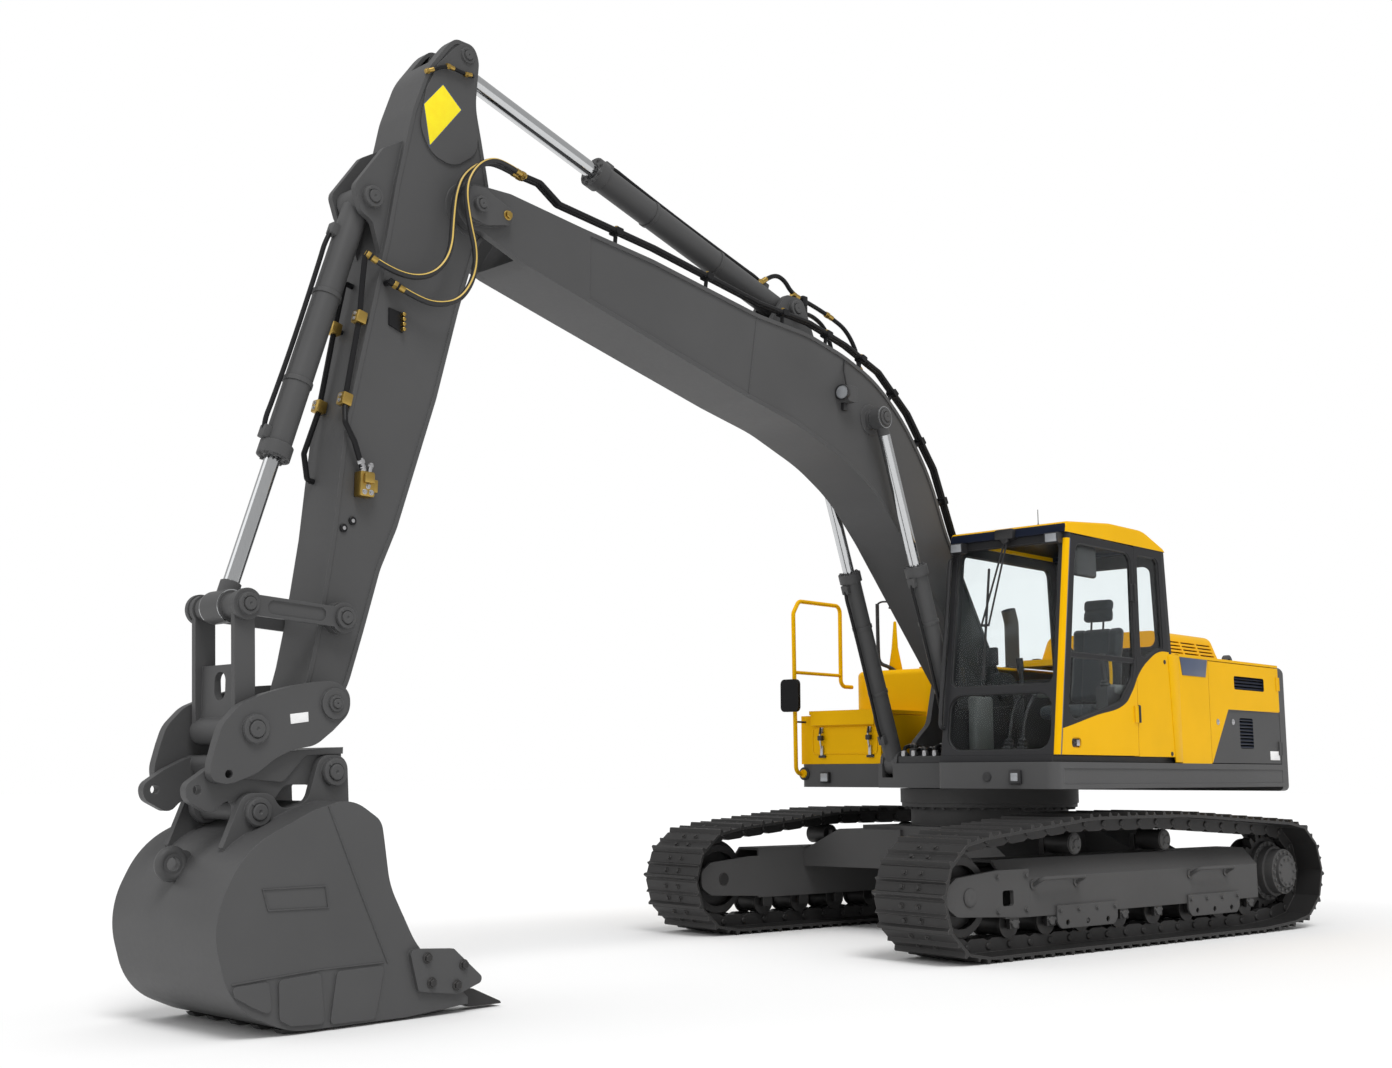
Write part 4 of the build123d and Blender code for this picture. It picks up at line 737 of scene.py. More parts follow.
def build_boom():
    """Weld across the boom's sides, keeper bolts, and the lamp beside the cylinder's pin."""
    bm = bmesh.new()
    for s in (1, -1):
        weld(bm, ((2.938, s * 0.2055, 4.166), (3.022, s * 0.2055, 3.640)))
    finish("boom_welds", bm, CHARCOAL_PAINT, "boom")
    bm = bmesh.new()
    for s in (1, -1):
        bolt(bm, (5.128, s * 0.262, 4.284), (0, s, 0), 0.044)
    finish("boom_keeper_bolts", bm, BRASS, "boom")
    bm = bmesh.new()
    lamp = stand((2.085, 0.256, 3.806), (1, 0.15, -0.05))
    turned(bm, ((0, -0.05), (0.030, -0.045), (0.050, -0.018), (0.056, 0.004), (0.056, 0.018),
                (0.049, 0.022), (0.049, 0.012), (0, 0.012)), lamp, 28)
    block(bm, (2.000, 0.205, 3.690), (2.046, 0.232, 3.752), 0.006)
    wire(bm, ((2.02, 0.236, 3.86), (2.03, 0.232, 3.93), (2.02, 0.215, 3.99), (2.00, 0.21, 4.06)), 0.006)
    finish("boom_lamp_housing", bm, BLACK_PLASTIC, "boom")
    bm = bmesh.new()
    turned(bm, ((0.0485, 0.013), (0.044, 0.019), (0.026, 0.024), (0, 0.026)), lamp, 28)
    finish("boom_lamp_lens", bm, LENS, "boom")


def build_boom_lines():
    """Bolts on the pipe clamps, and the arched pipes from the boom's back to the arm cylinder's foot."""
    back = ((0.791, 2.947), (1.004, 3.386), (1.314, 3.740), (1.643, 3.977), (2.009, 4.095),
            (2.403, 4.172), (2.932, 4.196), (3.921, 4.331), (4.542, 4.383))
    bm = bmesh.new()
    for a, b in zip(back, back[1:]):
        run = upright(b) - upright(a)
        out = upright((-run.z, run.x)).normalized()
        middle = (upright(a, 0.201) + upright(b, 0.201)) / 2 + out * 0.098
        if run.length > 0.35:
            bolt(bm, middle, out, 0.030)
    finish("boom_clamp_bolts", bm, BRASS, "boom")
    pipes, ends = bmesh.new(), bmesh.new()
    wire(pipes, ((1.680, 0.100, 3.990), (1.690, 0.100, 4.150), (1.800, 0.080, 4.340),
                 (1.960, 0.060, 4.410), (2.160, 0.050, 4.460), (2.380, 0.050, 4.490),
                 (2.470, 0.050, 4.580), (2.580, 0.045, 4.590), (2.655, 0.030, 4.530)), 0.016)
    wire(pipes, ((1.780, -0.060, 4.020), (1.790, -0.060, 4.180), (1.880, -0.050, 4.360),
                 (2.030, -0.040, 4.420), (2.170, -0.030, 4.420), (2.260, -0.030, 4.400)), 0.016)
    block(pipes, (2.235, -0.072, 4.120), (2.300, 0.072, 4.440), 0.010)
    block(pipes, (2.240, 0.022, 4.430), (2.295, 0.078, 4.500), 0.008)
    for at, along in (((1.950, 0.061, 4.405), (1, -0.06, 0.28)),
                      ((2.310, 0.050, 4.480), (1, 0, 0.16)),
                      ((2.640, 0.034, 4.545), (0.75, -0.15, -0.55)),
                      ((2.160, -0.031, 4.420), (1, 0, -0.12)),
                      ((1.682, 0.100, 4.010), (0.06, 0, 1)),
                      ((1.781, -0.060, 4.040), (0.06, 0, 1))):
        fitting(ends, at, along, 0.016)
    finish("boom_foot_lines", pipes, PIPE_BLACK, "boom")
    finish("boom_foot_line_fittings", ends, BRASS, "boom")


def build_rod_eyes():
    """Painted sleeves over the rods' eyes and necks."""
    rods = (("boom_rods", BOOM_CYL_BASE, BOOM_CYL_EYE, BOOM_CYL_Y, (0.078, 0.045, 0.040, 0.050, 0.043)),
            ("arm_rod", ARM_CYL_BASE, ARM_CYL_EYE, (0.0,), (0.088, 0.070, 0.040, 0.071, 0.0625)),
            ("bucket_rod", BUCKET_CYL_BASE, LINK_PIN, (0.0,), (0.080, 0.085, 0.060, 0.157, 0.051)))
    skin = 0.0012
    for body, base, eye, sides, (radius, half, pin, reach, neck) in rods:
        run = upright(eye) - upright(base)
        bm = bmesh.new()
        for y in sides:
            at = upright(eye, y)
            outer, bore = radius + skin, pin + skin
            turned(bm, ((0, -reach), (bore, -reach), (bore, -half - skin), (outer - 0.006, -half - skin),
                        (outer, 0.006 - half), (outer, half - 0.006), (outer - 0.006, half + skin),
                        (bore, half + skin), (bore, reach), (0, reach)), stand(at, (0, 1, 0)), 32)
            foot = -radius - 0.046
            turned(bm, ((neck - 0.006, foot - 0.004), (neck + skin, foot), (neck + skin, 0)),
                   stand(at, run), 28)
        finish(f"{body}_eyes", bm, CHARCOAL_PAINT, body)


def on_barrel(base, eye, distance, off):
    """Point beside a cylinder's line, on the upper side, from its base pin."""
    run = (upright(eye) - upright(base)).normalized()
    return upright(base) + run * distance + upright((-run.z, run.x)) * off


def build_cylinders():
    """Head bolts, ports and the hard line along each barrel."""
    barrels = (("arm_barrel", ARM_CYL_BASE, ARM_CYL_EYE, (0.0,), 0.084, 1.868, 1),
               ("bucket_barrel", BUCKET_CYL_BASE, LINK_PIN, (0.0,), 0.072, 1.526, 1),
               ("boom_barrels", BOOM_CYL_BASE, BOOM_CYL_EYE, BOOM_CYL_Y, 0.070, 1.500, -1))
    for body, base, eye, sides, radius, head, up in barrels:
        run = (upright(eye) - upright(base)).normalized()
        above = upright((-run.z, run.x))
        steel, line = bmesh.new(), bmesh.new()
        for y in sides:
            shift = Vector((0, y, 0))
            bolt_ring(steel, upright(base, y) + run * head, ((0, 1, 0), above), radius - 0.005, 8, run,
                      0.022, 22.5)
            for distance in (0.22, head - 0.105):
                foot = on_barrel(base, eye, distance, up * (radius - 0.01)) + shift
                block(steel, (-0.034, -0.028, 0), (0.034, 0.028, 0.045), 0.006,
                      stand(foot, above * up, run))
            route = ((head - 0.105, 0.02), (head - 0.16, 0.036), (head - 0.26, 0.030),
                     (head * 0.6, 0.024), (0.42, 0.030), (0.30, 0.036), (0.22, 0.02))
            wire(line, [on_barrel(base, eye, d, up * (radius + h)) + shift for d, h in route], 0.013)
            for distance in (head * 0.38, head * 0.72):
                at = on_barrel(base, eye, distance, 0) + shift
                inner, outer = radius + 0.001, radius + 0.006
                turned(steel, ((inner, -0.012), (outer, -0.012), (outer, 0.012), (inner, 0.012)),
                       stand(at, run), 32)
        finish(f"{body}_ports", steel, CHARCOAL_PAINT, body)
        finish(f"{body}_line", line, PIPE_BLACK, body)


def arm_front(z, off, y):
    """Point off the arm's front plate, from a height on the plate."""
    (xa, za), (xb, zb) = (5.862, 4.000), (6.088, 2.902)
    length = math.dist((xa, za), (xb, zb))
    x = xa + (xb - xa) * (z - za) / (zb - za)
    return Vector((x + off * (za - zb) / length, y, z + off * (xb - xa) / length))


def build_arm():
    """Clamps, valve, plates and pipes on the arm."""
    brass, steel, black = bmesh.new(), bmesh.new(), bmesh.new()
    slope = (arm_front(3.0, 0, 0) - arm_front(3.5, 0, 0)).normalized()
    for z, off, y in ((3.516, 0.046, 0.135), (3.070, 0.026, 0.135), (3.494, 0.050, -0.080),
                      (3.060, 0.035, -0.080)):
        at = arm_front(z, off, y)
        block(brass, (-0.030, -0.031, -0.034), (0.030, 0.031, 0.034), 0.008,
              stand(at, slope, (1, 0, 0.2)))
        for d in (-0.014, 0.014):
            bolt(steel, at + slope * d + Vector((0.030, 0, 0.006)), (1, 0, 0.2), 0.016)
    # Valve on the arm's side
    block(brass, (5.931, 0.150, 2.571), (6.019, 0.216, 2.704), 0.010)
    block(brass, (5.905, 0.158, 2.600), (5.935, 0.205, 2.668), 0.006)
    block(brass, (5.945, 0.206, 2.640), (6.005, 0.236, 2.694), 0.008)
    for x, z in ((5.955, 2.595), (5.995, 2.595), (5.975, 2.625)):
        bolt(steel, (x, 0.216, z), (0, 1, 0), 0.022)
    fitting(steel, (5.990, 0.192, 2.704), (0.35, 0, 1), 0.014)
    fitting(steel, (5.950, 0.185, 2.700), (-0.2, 0, 1), 0.011)
    for x, z in ((6.020, 2.448), (6.072, 2.405)):
        turned(black, ((0, 0), (0.022, 0), (0.022, 0.008), (0.018, 0.011), (0, 0.011)),
               stand((x, 0.149, z), (0, 1, 0)), 16)
        turned(steel, ((0.010, 0.010), (0.010, 0.012), (0, 0.013)), stand((x, 0.149, z), (0, 1, 0)), 12)
    # Small bracket with brass plugs below the hoses
    slab(black, ((5.838, 3.615), (5.735, 3.600), (5.745, 3.492), (5.835, 3.520)), 0.147, 0.160, 0.004)
    for i in range(4):
        turned(brass, ((0, 0), (0.011, 0), (0.011, 0.022), (0.007, 0.026), (0, 0.026)),
               stand((5.755 - 0.001 * i, 0.160, 3.590 - 0.027 * i), (0, 1, 0)), 12)
    # Pipe across the arm's head
    wire(black, ((5.315, 0.150, 5.085), (5.320, 0.178, 5.080), (5.400, 0.184, 5.062),
                 (5.500, 0.182, 5.075), (5.590, 0.176, 5.035), (5.640, 0.150, 5.000)), 0.011)
    for at, along in (((5.345, 0.181, 5.074), (1, 0.05, -0.25)), ((5.470, 0.184, 5.068), (1, 0, 0.05)),
                      ((5.600, 0.172, 5.025), (1, -0.3, -0.5))):
        fitting(brass, at, along, 0.011)
    finish("arm_brass", brass, BRASS, "arm")
    finish("arm_fasteners", steel, ZINC, "arm")
    finish("arm_lines", black, PIPE_BLACK, "arm")
    sign = [Vector(p) for p in ((5.526, 4.961), (5.397, 4.855), (5.604, 4.587), (5.650, 4.809))]
    middle = sum(sign, Vector((0, 0))) / 4
    rim = [middle + (p - middle) * 1.06 for p in sign]
    plate("arm_sign", sign, 0.160, 0.1625, 0.0008, SIGN_YELLOW, "arm")
    plate("arm_sign_edge", rim, 0.160, 0.1615, 0.0006, BADGE_BLUE, "arm")


def build_bucket():
    """Welds, bare raised panel, fasteners and tag on the bucket and its coupler."""
    weld_bm, steel, panel = bmesh.new(), bmesh.new(), bmesh.new()
    for s in (1, -1):
        y = s * BUCKET_SIDE
        weld(weld_bm, ((6.321, y, 1.020), (6.140, y, 0.640), (5.960, y, 0.275)), 0.005)
        weld(weld_bm, ((6.790, y, 0.250), (6.610, y, 0.262), (6.338, y, 0.278), (5.985, y, 0.281)), 0.005)
        frame_line = ((6.655, 0.655), (6.325, 0.655), (6.305, 0.556), (6.622, 0.560))
        wire(panel, [(x, y, z) for x, z in frame_line], 0.006, smooth=False, loop=True, sides=1)
        for x, z in ((5.520, 0.235), (5.560, 0.140), (5.715, 0.165), (5.745, 0.285)):
            bolt(steel, (x, s * 0.504, z), (0, s, 0), 0.042)
    for i in range(5):
        y = (i - 2) * 0.196
        for s in (1, -1):
            turned(steel, ((0, 0), (0.016, 0), (0.016, 0.004), (0.012, 0.007), (0, 0.007)),
                   stand((5.500, y + s * 0.045, 0.088), (0, s, 0)), 14)
    turns = [math.radians(30 * i) for i in range(12)]
    ring = [(LIFT_EYE[0] + 0.062 * math.cos(t), 0.0, LIFT_EYE[1] + 0.062 * math.sin(t)) for t in turns]
    wire(weld_bm, ring, 0.024, loop=True, sides=4)
    finish("bucket_welds", weld_bm, CHARCOAL_PAINT, "bucket")
    finish("bucket_bolts", steel, TRACK_STEEL, "bucket")
    finish("bucket_panel_edge", panel, CHARCOAL_PAINT, "bucket")
    tag = ((6.425, 1.453), (6.326, 1.466), (6.322, 1.420), (6.419, 1.406))
    plate("coupler_tag", tag, 0.284, 0.2875, 0.001, SIGN_WHITE, "bucket")


# Undercarriage

def build_tracks():
    """Shoe bolts and link pins, placed on the faces of the track loops."""
    for name in ("track_left", "track_right"):
        bm = bmesh.new()
        bm.from_mesh(NODES[name].data)
        bmesh.ops.remove_doubles(bm, verts=bm.verts, dist=MERGE_DISTANCE)
        bmesh.ops.dissolve_limit(bm, angle_limit=0.01, verts=bm.verts, edges=bm.edges)
        across = Matrix.Rotation(math.radians(TRACK_YAW), 3, "Z") @ Vector((0, 1, 0))
        bolts, pins = bmesh.new(), bmesh.new()
        for face in bm.faces:
            lengths = sorted(e.calc_length() for e in face.edges)
            flat = FLAT_MIN < lengths[0] < FLAT_MAX
            if len(lengths) != 4 or lengths[-1] < SHOE_WIDTH_MIN or not flat:
                continue
            at = face.calc_center_median()
            for d in (-0.07, 0.07):
                bolt(bolts, at + across * d, face.normal, 0.030)
            if lengths[0] < FRONT_FLAT:
                run = face.normal.cross(across)
                hinge = at - run * HINGE_BACK - face.normal * HINGE_DEPTH
                for s in (1, -1):
                    turned(pins, ((0, -0.010), (0.024, -0.010), (0.024, 0.004), (0.018, 0.009),
                                  (0, 0.009)), stand(hinge + across * s * 0.096, across * s), 12)
        bm.free()
        finish(f"{name}_bolts", bolts, TRACK_STEEL, "undercarriage")
        finish(f"{name}_link_pins", pins, TRACK_STEEL, "undercarriage")


def build_undercarriage():
    """Roller ends, drive covers, idler hubs and frame fasteners, turned with the tracks."""
    bm = bmesh.new()
    for s in (1, -1):
        y = s * HALF_GAUGE
        for x in ROLLER_X:
            turned(bm, ((0, 0), (0.029, 0), (0.029, 0.006), (0.024, 0.011), (0.010, 0.011), (0, 0.007)),
                   stand((x, y + s * 0.167, ROLLER_Z), (0, s, 0)), 18)
            for d in (-0.034, 0.034):
                bolt(bm, (x + d, y + s * 0.167, 0.226), (0, s, 0), 0.020)
        for x in CARRIER_X:
            turned(bm, ((0, 0), (0.066, 0), (0.066, 0.006), (0.056, 0.012), (0.030, 0.012),
                        (0.026, 0.020), (0, 0.020)), stand((x, y + s * 0.099, CARRIER_Z), (0, s, 0)), 24)
            bolt_ring(bm, (x, y + s * 0.111, CARRIER_Z), SIDE_PLANE, 0.043, 4, (0, s, 0), 0.016, 45)
        for radius, out, count, size in ((0.147, 0.190, 16, 0.026), (0.096, 0.215, 10, 0.022),
                                         (0.208, 0.060, 20, 0.026)):
            bolt_ring(bm, upright(SPROCKET, y + s * out), SIDE_PLANE, radius, count, (0, s, 0), size)
        turned(bm, ((0, 0), (0.058, 0), (0.058, 0.008), (0.046, 0.016), (0.018, 0.016), (0, 0.010)),
               stand(upright(IDLER, y + s * 0.175), (0, s, 0)), 24)
        for x, z in ((1.275, 0.300), (1.275, 0.520), (1.560, 0.300), (1.560, 0.520)):
            bolt(bm, (x, y + s * 0.176, z), (0, s, 0), 0.030)
        for x in (-0.870, 0.640):
            for d in (-0.300, -0.100, 0.100, 0.300):
                bolt(bm, (x + d, y + s * 0.186, 0.278), (0, s, 0), 0.026)
    bolt_ring(bm, (0, 0, 0.929), LEVEL_PLANE, 0.636, 40, (0, 0, -1), 0.034)
    bm.transform(Matrix.Rotation(math.radians(TRACK_YAW), 4, "Z"))
    finish("undercarriage_fasteners", bm, UNDER_PAINT, "undercarriage")


# House: tail, hood, tank and toolbox

def build_tail():
    """Locks and blank plates on the side panels."""
    for door, s in (("radiator_door", 1), ("pump_door", -1)):
        locks = bmesh.new()
        for x, y, z in TAIL_LOCKS:
            turned(locks, ((0, -0.002), (0.024, -0.002), (0.024, 0.003), (0.020, 0.006), (0.012, 0.006),
                           (0.010, 0.003), (0, 0.003)), stand((x, s * y, z), (0, s, 0)), 22)
            block(locks, (x - 0.002, s * y - 0.005, z - 0.009), (x + 0.002, s * y + 0.005, z + 0.009),
                  0.001)
        finish(f"{door}_locks", locks, ZINC, door)
    label = ((-2.290, 1.290), (-2.110, 1.290), (-2.110, 1.362), (-2.290, 1.362))
    plate("radiator_door_plate", label, 1.3385, 1.3420, 0.001, SIGN_WHITE, "radiator_door")
    filler = ((-0.564, 1.262), (-0.452, 1.262), (-0.398, 2.040), (-0.412, 2.060), (-0.470, 2.066),
              (-0.564, 2.060))
    plate("side_filler", filler, 1.338, 1.3466, 0.002, YELLOW_PAINT, "upper")
    badge = ((-0.575, 2.050), (-1.028, 2.050), (-0.990, 1.915), (-0.610, 1.915))
    plate("side_badge", badge, 1.344, 1.351, 0.002, BADGE_BLUE, "upper")
    cover = bmesh.new()
    block(cover, (-2.350, -0.425, 2.040), (-2.260, 0.955, 2.060), 0.004)
    finish("tail_cover", cover, CHARCOAL_PAINT, "upper")


def build_hood():
    """Black blocks painted as the shade inside the slots along the hood's bulge, its grab handle and its
    latches.
    """
    slot_shade = bmesh.new()
    # Painted shade: black blocks where the slots open on the dark inside of the hood
    for z in (2.150, 2.180, 2.210, 2.240):
        for x in (-2.130, -1.850, -1.570):
            shift = (z - 2.100) * 0.39
            for y in (0.846 - shift, -0.216 + shift):
                block(slot_shade, (x + 0.004, y, z - 0.002), (x + 0.246, y + 0.020, z + 0.014), 0.003)
    finish("hood_slot_shade", slot_shade, BLACK_PLASTIC, "engine_hood")
    bar = bmesh.new()
    handle = ((0.150, 2.125), (0.150, 2.185), (0.170, 2.195), (0.430, 2.195), (0.450, 2.185),
              (0.450, 2.125))
    wire(bar, [(-1.110, y, z) for y, z in handle], 0.010)
    for y in (-0.200, 0.740):
        block(bar, (-1.120, y - 0.030, 2.120), (-1.068, y + 0.030, 2.140), 0.005)
    finish("hood_handle", bar, BLACK_PLASTIC, "engine_hood")


def build_right_deck():
    """Toolbox latches, lamp, rail foot, mirror glass, tread and the posts on the tank."""
    black, steel, tread = bmesh.new(), bmesh.new(), bmesh.new()
    for y in (-1.115, -0.637):
        block(black, (0.653, y - 0.034, 1.305), (0.672, y + 0.034, 1.325), 0.004)
        block(steel, (0.653, y - 0.014, 1.322), (0.675, y + 0.014, 1.400), 0.005)
        wire(steel, ((0.672, y, 1.385), (0.690, y, 1.410), (0.690, y, 1.500)), 0.008)
        block(black, (0.666, y - 0.022, 1.440), (0.700, y + 0.022, 1.480), 0.007)
        turned(black, ((0, 0), (0.012, 0), (0.010, 0.030), (0.006, 0.052), (0, 0.054)),
               stand((0.688, y, 1.492), (-0.1, 0, 1)), 14)
        block(steel, (0.652, y - 0.010, 1.500), (0.668, y + 0.010, 1.545), 0.003)
    block(black, (0.650, -1.125, 1.108), (0.690, -1.035, 1.192), 0.010)
    turned(black, ((0, 0), (0.052, 0), (0.052, 0.008), (0.046, 0.012), (0, 0.012)),
           stand((0.660, -1.300, 1.180), (1, 0, 0)), 24)
    wire(black, ((0.656, -1.290, 1.590), (0.700, -1.300, 1.592), (0.746, -1.320, 1.592)), 0.008)
    block(tread, (0.120, -1.150, 1.665), (0.590, -0.640, 1.672), 0.003)
    for i in range(9):
        for j in range(10):
            at = (0.150 + 0.0513 * i, -1.122 + 0.0504 * j, 1.671)
            turned(tread, ((0.013, 0), (0.011, 0.0045), (0.005, 0.0045), (0.004, 0.002), (0, 0.002)),
                   stand(at, (0, 0, 1)), 10)
    finish("toolbox_lid_tread", tread, BLACK_PLASTIC, "toolbox_lid")
    # Post with its hook, and the filler's neck ring
    wire(black, ((-0.160, -0.980, 2.025), (-0.120, -1.010, 2.060), (-0.055, -1.075, 2.090),
                 (-0.050, -1.080, 2.200), (-0.050, -1.080, 2.590)), 0.016)
    wire(black, ((-0.050, -1.080, 2.580), (-0.060, -1.070, 2.612), (-0.140, -0.985, 2.606),
                 (-0.165, -0.958, 2.580), (-0.140, -0.985, 2.545), (-0.115, -1.011, 2.560)), 0.008)
    turned(black, ((0.072, 0), (0.080, 0.004), (0.080, 0.020), (0.072, 0.026)),
           stand((-0.500, -0.900, 2.028), (0, 0, 1)), 28)
    finish("right_deck_fittings", black, BLACK_PLASTIC, "upper")
    finish("toolbox_latches", steel, ZINC, "upper")
    fin = bmesh.new()
    foot = Matrix.Translation((-0.170, -0.990, 2.025)) @ Matrix.Rotation(math.radians(133), 4, "Z")
    slab(fin, ((-0.060, 0.0), (0.060, 0.0), (0.022, 0.200), (0.011, 0.420), (-0.011, 0.420),
               (-0.030, 0.200)), -0.016, 0.016, 0.006, place=foot)
    turned(fin, ((0, 0.010), (0.034, 0.010), (0.034, 0.018), (0.028, 0.024), (0, 0.024)),
           stand((0.660, -1.300, 1.180), (1, 0, 0)), 20)
    finish("tank_post", fin, YELLOW_PAINT, "upper")
    rim = bmesh.new()
    corners = ((-1.215, 1.365), (-1.206, 1.344), (-1.185, 1.335), (-0.605, 1.335), (-0.584, 1.344),
               (-0.575, 1.365), (-0.575, 1.515), (-0.584, 1.536), (-0.605, 1.545), (-1.185, 1.545),
               (-1.206, 1.536), (-1.215, 1.515))
    wire(rim, [(0.655, y, z) for y, z in corners], 0.006, smooth=False, loop=True, sides=2)
    finish("toolbox_panel_rim", rim, YELLOW_PAINT, "upper")
    mirror = ((-1.393, 1.700), (-1.375, 1.682), (-1.255, 1.682), (-1.237, 1.700), (-1.237, 1.900),
              (-1.255, 1.918), (-1.375, 1.918), (-1.393, 1.900))
    plate("rail_mirror_glass", mirror, 0.7925, 0.7960, 0.001, CHROME, "upper", axis="x")
    lamp = bmesh.new()
    block(lamp, (0.684, -1.115, 1.118), (0.694, -1.045, 1.182), 0.006)
    block(lamp, (1.278, 1.012, 1.126), (1.288, 1.068, 1.182), 0.008)
    finish("deck_lamp_lenses", lamp, LENS, "upper")


def build_deck_front():
    """Lamp, tie-down and the pipes that rise to the boom in the middle of the deck."""
    black, pipes, steel = bmesh.new(), bmesh.new(), bmesh.new()
    block(black, (1.254, 0.992, 1.106), (1.284, 1.088, 1.202), 0.010)
    turned(black, ((0, 0), (0.034, 0), (0.034, 0.006), (0.026, 0.010), (0.010, 0.010), (0, 0.005)),
           stand((1.259, 0.810, 1.155), (1, 0, 0)), 24)
    block(black, (0.845, -0.205, 1.250), (0.895, 0.205, 1.310), 0.010)
    for y, top, back in ((-0.165, 1.350, -0.02), (-0.075, 1.325, -0.01), (0.025, 1.325, 0.01),
                         (0.115, 1.350, 0.02)):
        wire(pipes, ((0.870, y, 1.300), (0.868, y, top), (0.845, y, top + 0.030),
                     (0.760, y, top + 0.035), (0.600, y + back, top + 0.030),
                     (0.420, y + back, top + 0.020), (0.380, y + back, 1.260)), 0.015)
        turned(steel, ((0.016, 0), (0.022, 0.004), (0.022, 0.046), (0.016, 0.050)),
               stand((0.870, y, 1.300), (0, 0, 1)), 18)
        turned(steel, ((0.015, 0), (0.027, 0.002), (0.027, 0.020), (0.015, 0.022)),
               stand((0.870, y, 1.312), (0, 0, 1)), 6)
        fitting(steel, (0.800, y, top + 0.034), (-1, 0, 0), 0.015)
    finish("deck_front_fittings", black, BLACK_PLASTIC, "upper")
    finish("deck_front_pipes", pipes, PIPE_BLACK, "upper")
    finish("deck_front_sleeves", steel, ZINC, "upper")


# Cab

def pillar(profile):
    """Strip that follows the cab's front corner, from its section in X off the front plane and Y."""
    bm = bmesh.new()
    rows = []
    for i in range(13):
        z = PILLAR_LOW + (PILLAR_TOP - PILLAR_LOW) * i / 12
        rows.append([bm.verts.new((lean(z) + a, b, z)) for a, b in profile])
    for low, high in zip(rows, rows[1:]):
        for j in range(len(low)):
            k = (j + 1) % len(low)
            bm.faces.new((low[j], low[k], high[k], high[j]))
    bm.faces.new(rows[0])
    bm.faces.new(rows[-1][::-1])
    return bm


def build_cab_outside():
    """Pillar strip, window seals, lamps, wiper motor, handles, mirror and aerial."""
    outside = ((-0.034, 1.3450), (-0.020, 1.3450), (-0.006, 1.3390), (0.0020, 1.3260), (0.0030, 1.3120))
    inside = ((0.0005, 1.3120), (-0.008, 1.3330), (-0.020, 1.3400), (-0.034, 1.3400))
    edge = ((-0.048, 1.3435), (-0.034, 1.3440), (-0.034, 1.3400), (-0.048, 1.3400))
    finish("pillar_edge", pillar(edge), BADGE_BLUE, "upper", 50.0)
    finish("pillar_strip", pillar(outside + inside), YELLOW_PAINT, "upper", 50.0)

    for name, node, body, facings in (
            ("cab_seals", "cab_glass", "upper", ((1, 0, CAB_LEAN), (0, 1, 0), (0, -1, 0))),
            ("rear_seal", "cab_rear_glass", "upper", ((-1, 0, 0.075),)),
            ("door_seals", "door_glass", "cab_door", ((0, 1, 0),))):
        seal = bmesh.new()
        for facing in facings:
            for loop in rim_loops(node, Vector(facing).normalized()):
                wire(seal, loop, 0.009, smooth=False, loop=True, sides=2)
        finish(name, seal, RUBBER, body)

    black, lamps = bmesh.new(), bmesh.new()
    for y in (0.425, 1.206):
        block(lamps, (1.066, y + 0.008, 2.760), (1.0800, y + 0.097, 2.818), 0.006)
    finish("work_lamp_lenses", lamps, LENS, "upper")
    # Wiper motor under its cover, bar beside the windscreen, aerial
    block(black, (0.990, 0.790, 2.815), (1.062, 0.945, 2.892), 0.016)
    turned(black, ((0, 0), (0.032, 0), (0.032, 0.020), (0.024, 0.028), (0, 0.028)),
           stand((1.030, 0.870, 2.815), (1, 0, 0.15)), 22)
    bar = [(lean(z, -out), y, z) for z, out, y in
           ((2.720, 0.000, 0.418), (2.715, 0.034, 0.412), (2.660, 0.042, 0.412), (2.100, 0.042, 0.412),
            (1.560, 0.042, 0.412), (1.500, 0.034, 0.412), (1.495, 0.000, 0.418))]
    wire(black, bar, 0.016)
    turned(black, ((0, -0.010), (0.020, -0.006), (0.018, 0.012), (0.006, 0.020), (0.0032, 0.030),
                   (0.0026, 0.130), (0, 0.130)), stand((0.636, 0.900, 2.950), (0, 0, 1)), 12)
    # Mirror that hangs inside the door's glass
    block(black, (0.480, 1.225, 2.555), (0.770, 1.275, 2.815), 0.024, segments=4)
    block(black, (0.600, 1.235, 2.800), (0.650, 1.265, 2.862), 0.006)
    finish("cab_fittings", black, BLACK_PLASTIC, "upper")
    mirror = bmesh.new()
    block(mirror, (0.500, 1.221, 2.575), (0.750, 1.227, 2.795), 0.0025)
    finish("cab_mirror_glass", mirror, CHROME, "upper")

    screws = bmesh.new()
    for x, z in ((-0.343, 1.999), (-0.399, 1.323)):
        turned(screws, ((0, 0), (0.017, 0), (0.015, 0.006), (0.007, 0.009), (0, 0.006)),
               stand((x, 1.341, z), (0, 1, 0)), 18)
    finish("cab_screws", screws, BLACK_PLASTIC, "upper")
    dark, lever = bmesh.new(), bmesh.new()
    slab(dark, ((0.912, 1.357), (1.023, 1.357), (1.023, 1.413), (0.912, 1.413)), 1.3275, 1.3300, 0.001)
    for z in (1.540, 2.420):
        hinge = stand((0.088, 1.352, z), (0, 0, 1))
        turned(dark, ((0.0092, 0), (0.0115, 0.003), (0.0115, 0.117), (0.0092, 0.120)), hinge, 18)
        turned(dark, ((0, 0.118), (0.0105, 0.120), (0.007, 0.126), (0, 0.127)), hinge, 18)
    block(lever, (0.918, 1.329, 1.364), (0.958, 1.3395, 1.406), 0.004)
    wire(dark, ((0.962, 1.332, 1.385), (0.985, 1.340, 1.385), (1.014, 1.338, 1.385)), 0.008)
    finish("door_hinges_and_handle", dark, BLACK_PLASTIC, "cab_door")
    finish("door_handle_button", lever, ZINC, "cab_door")


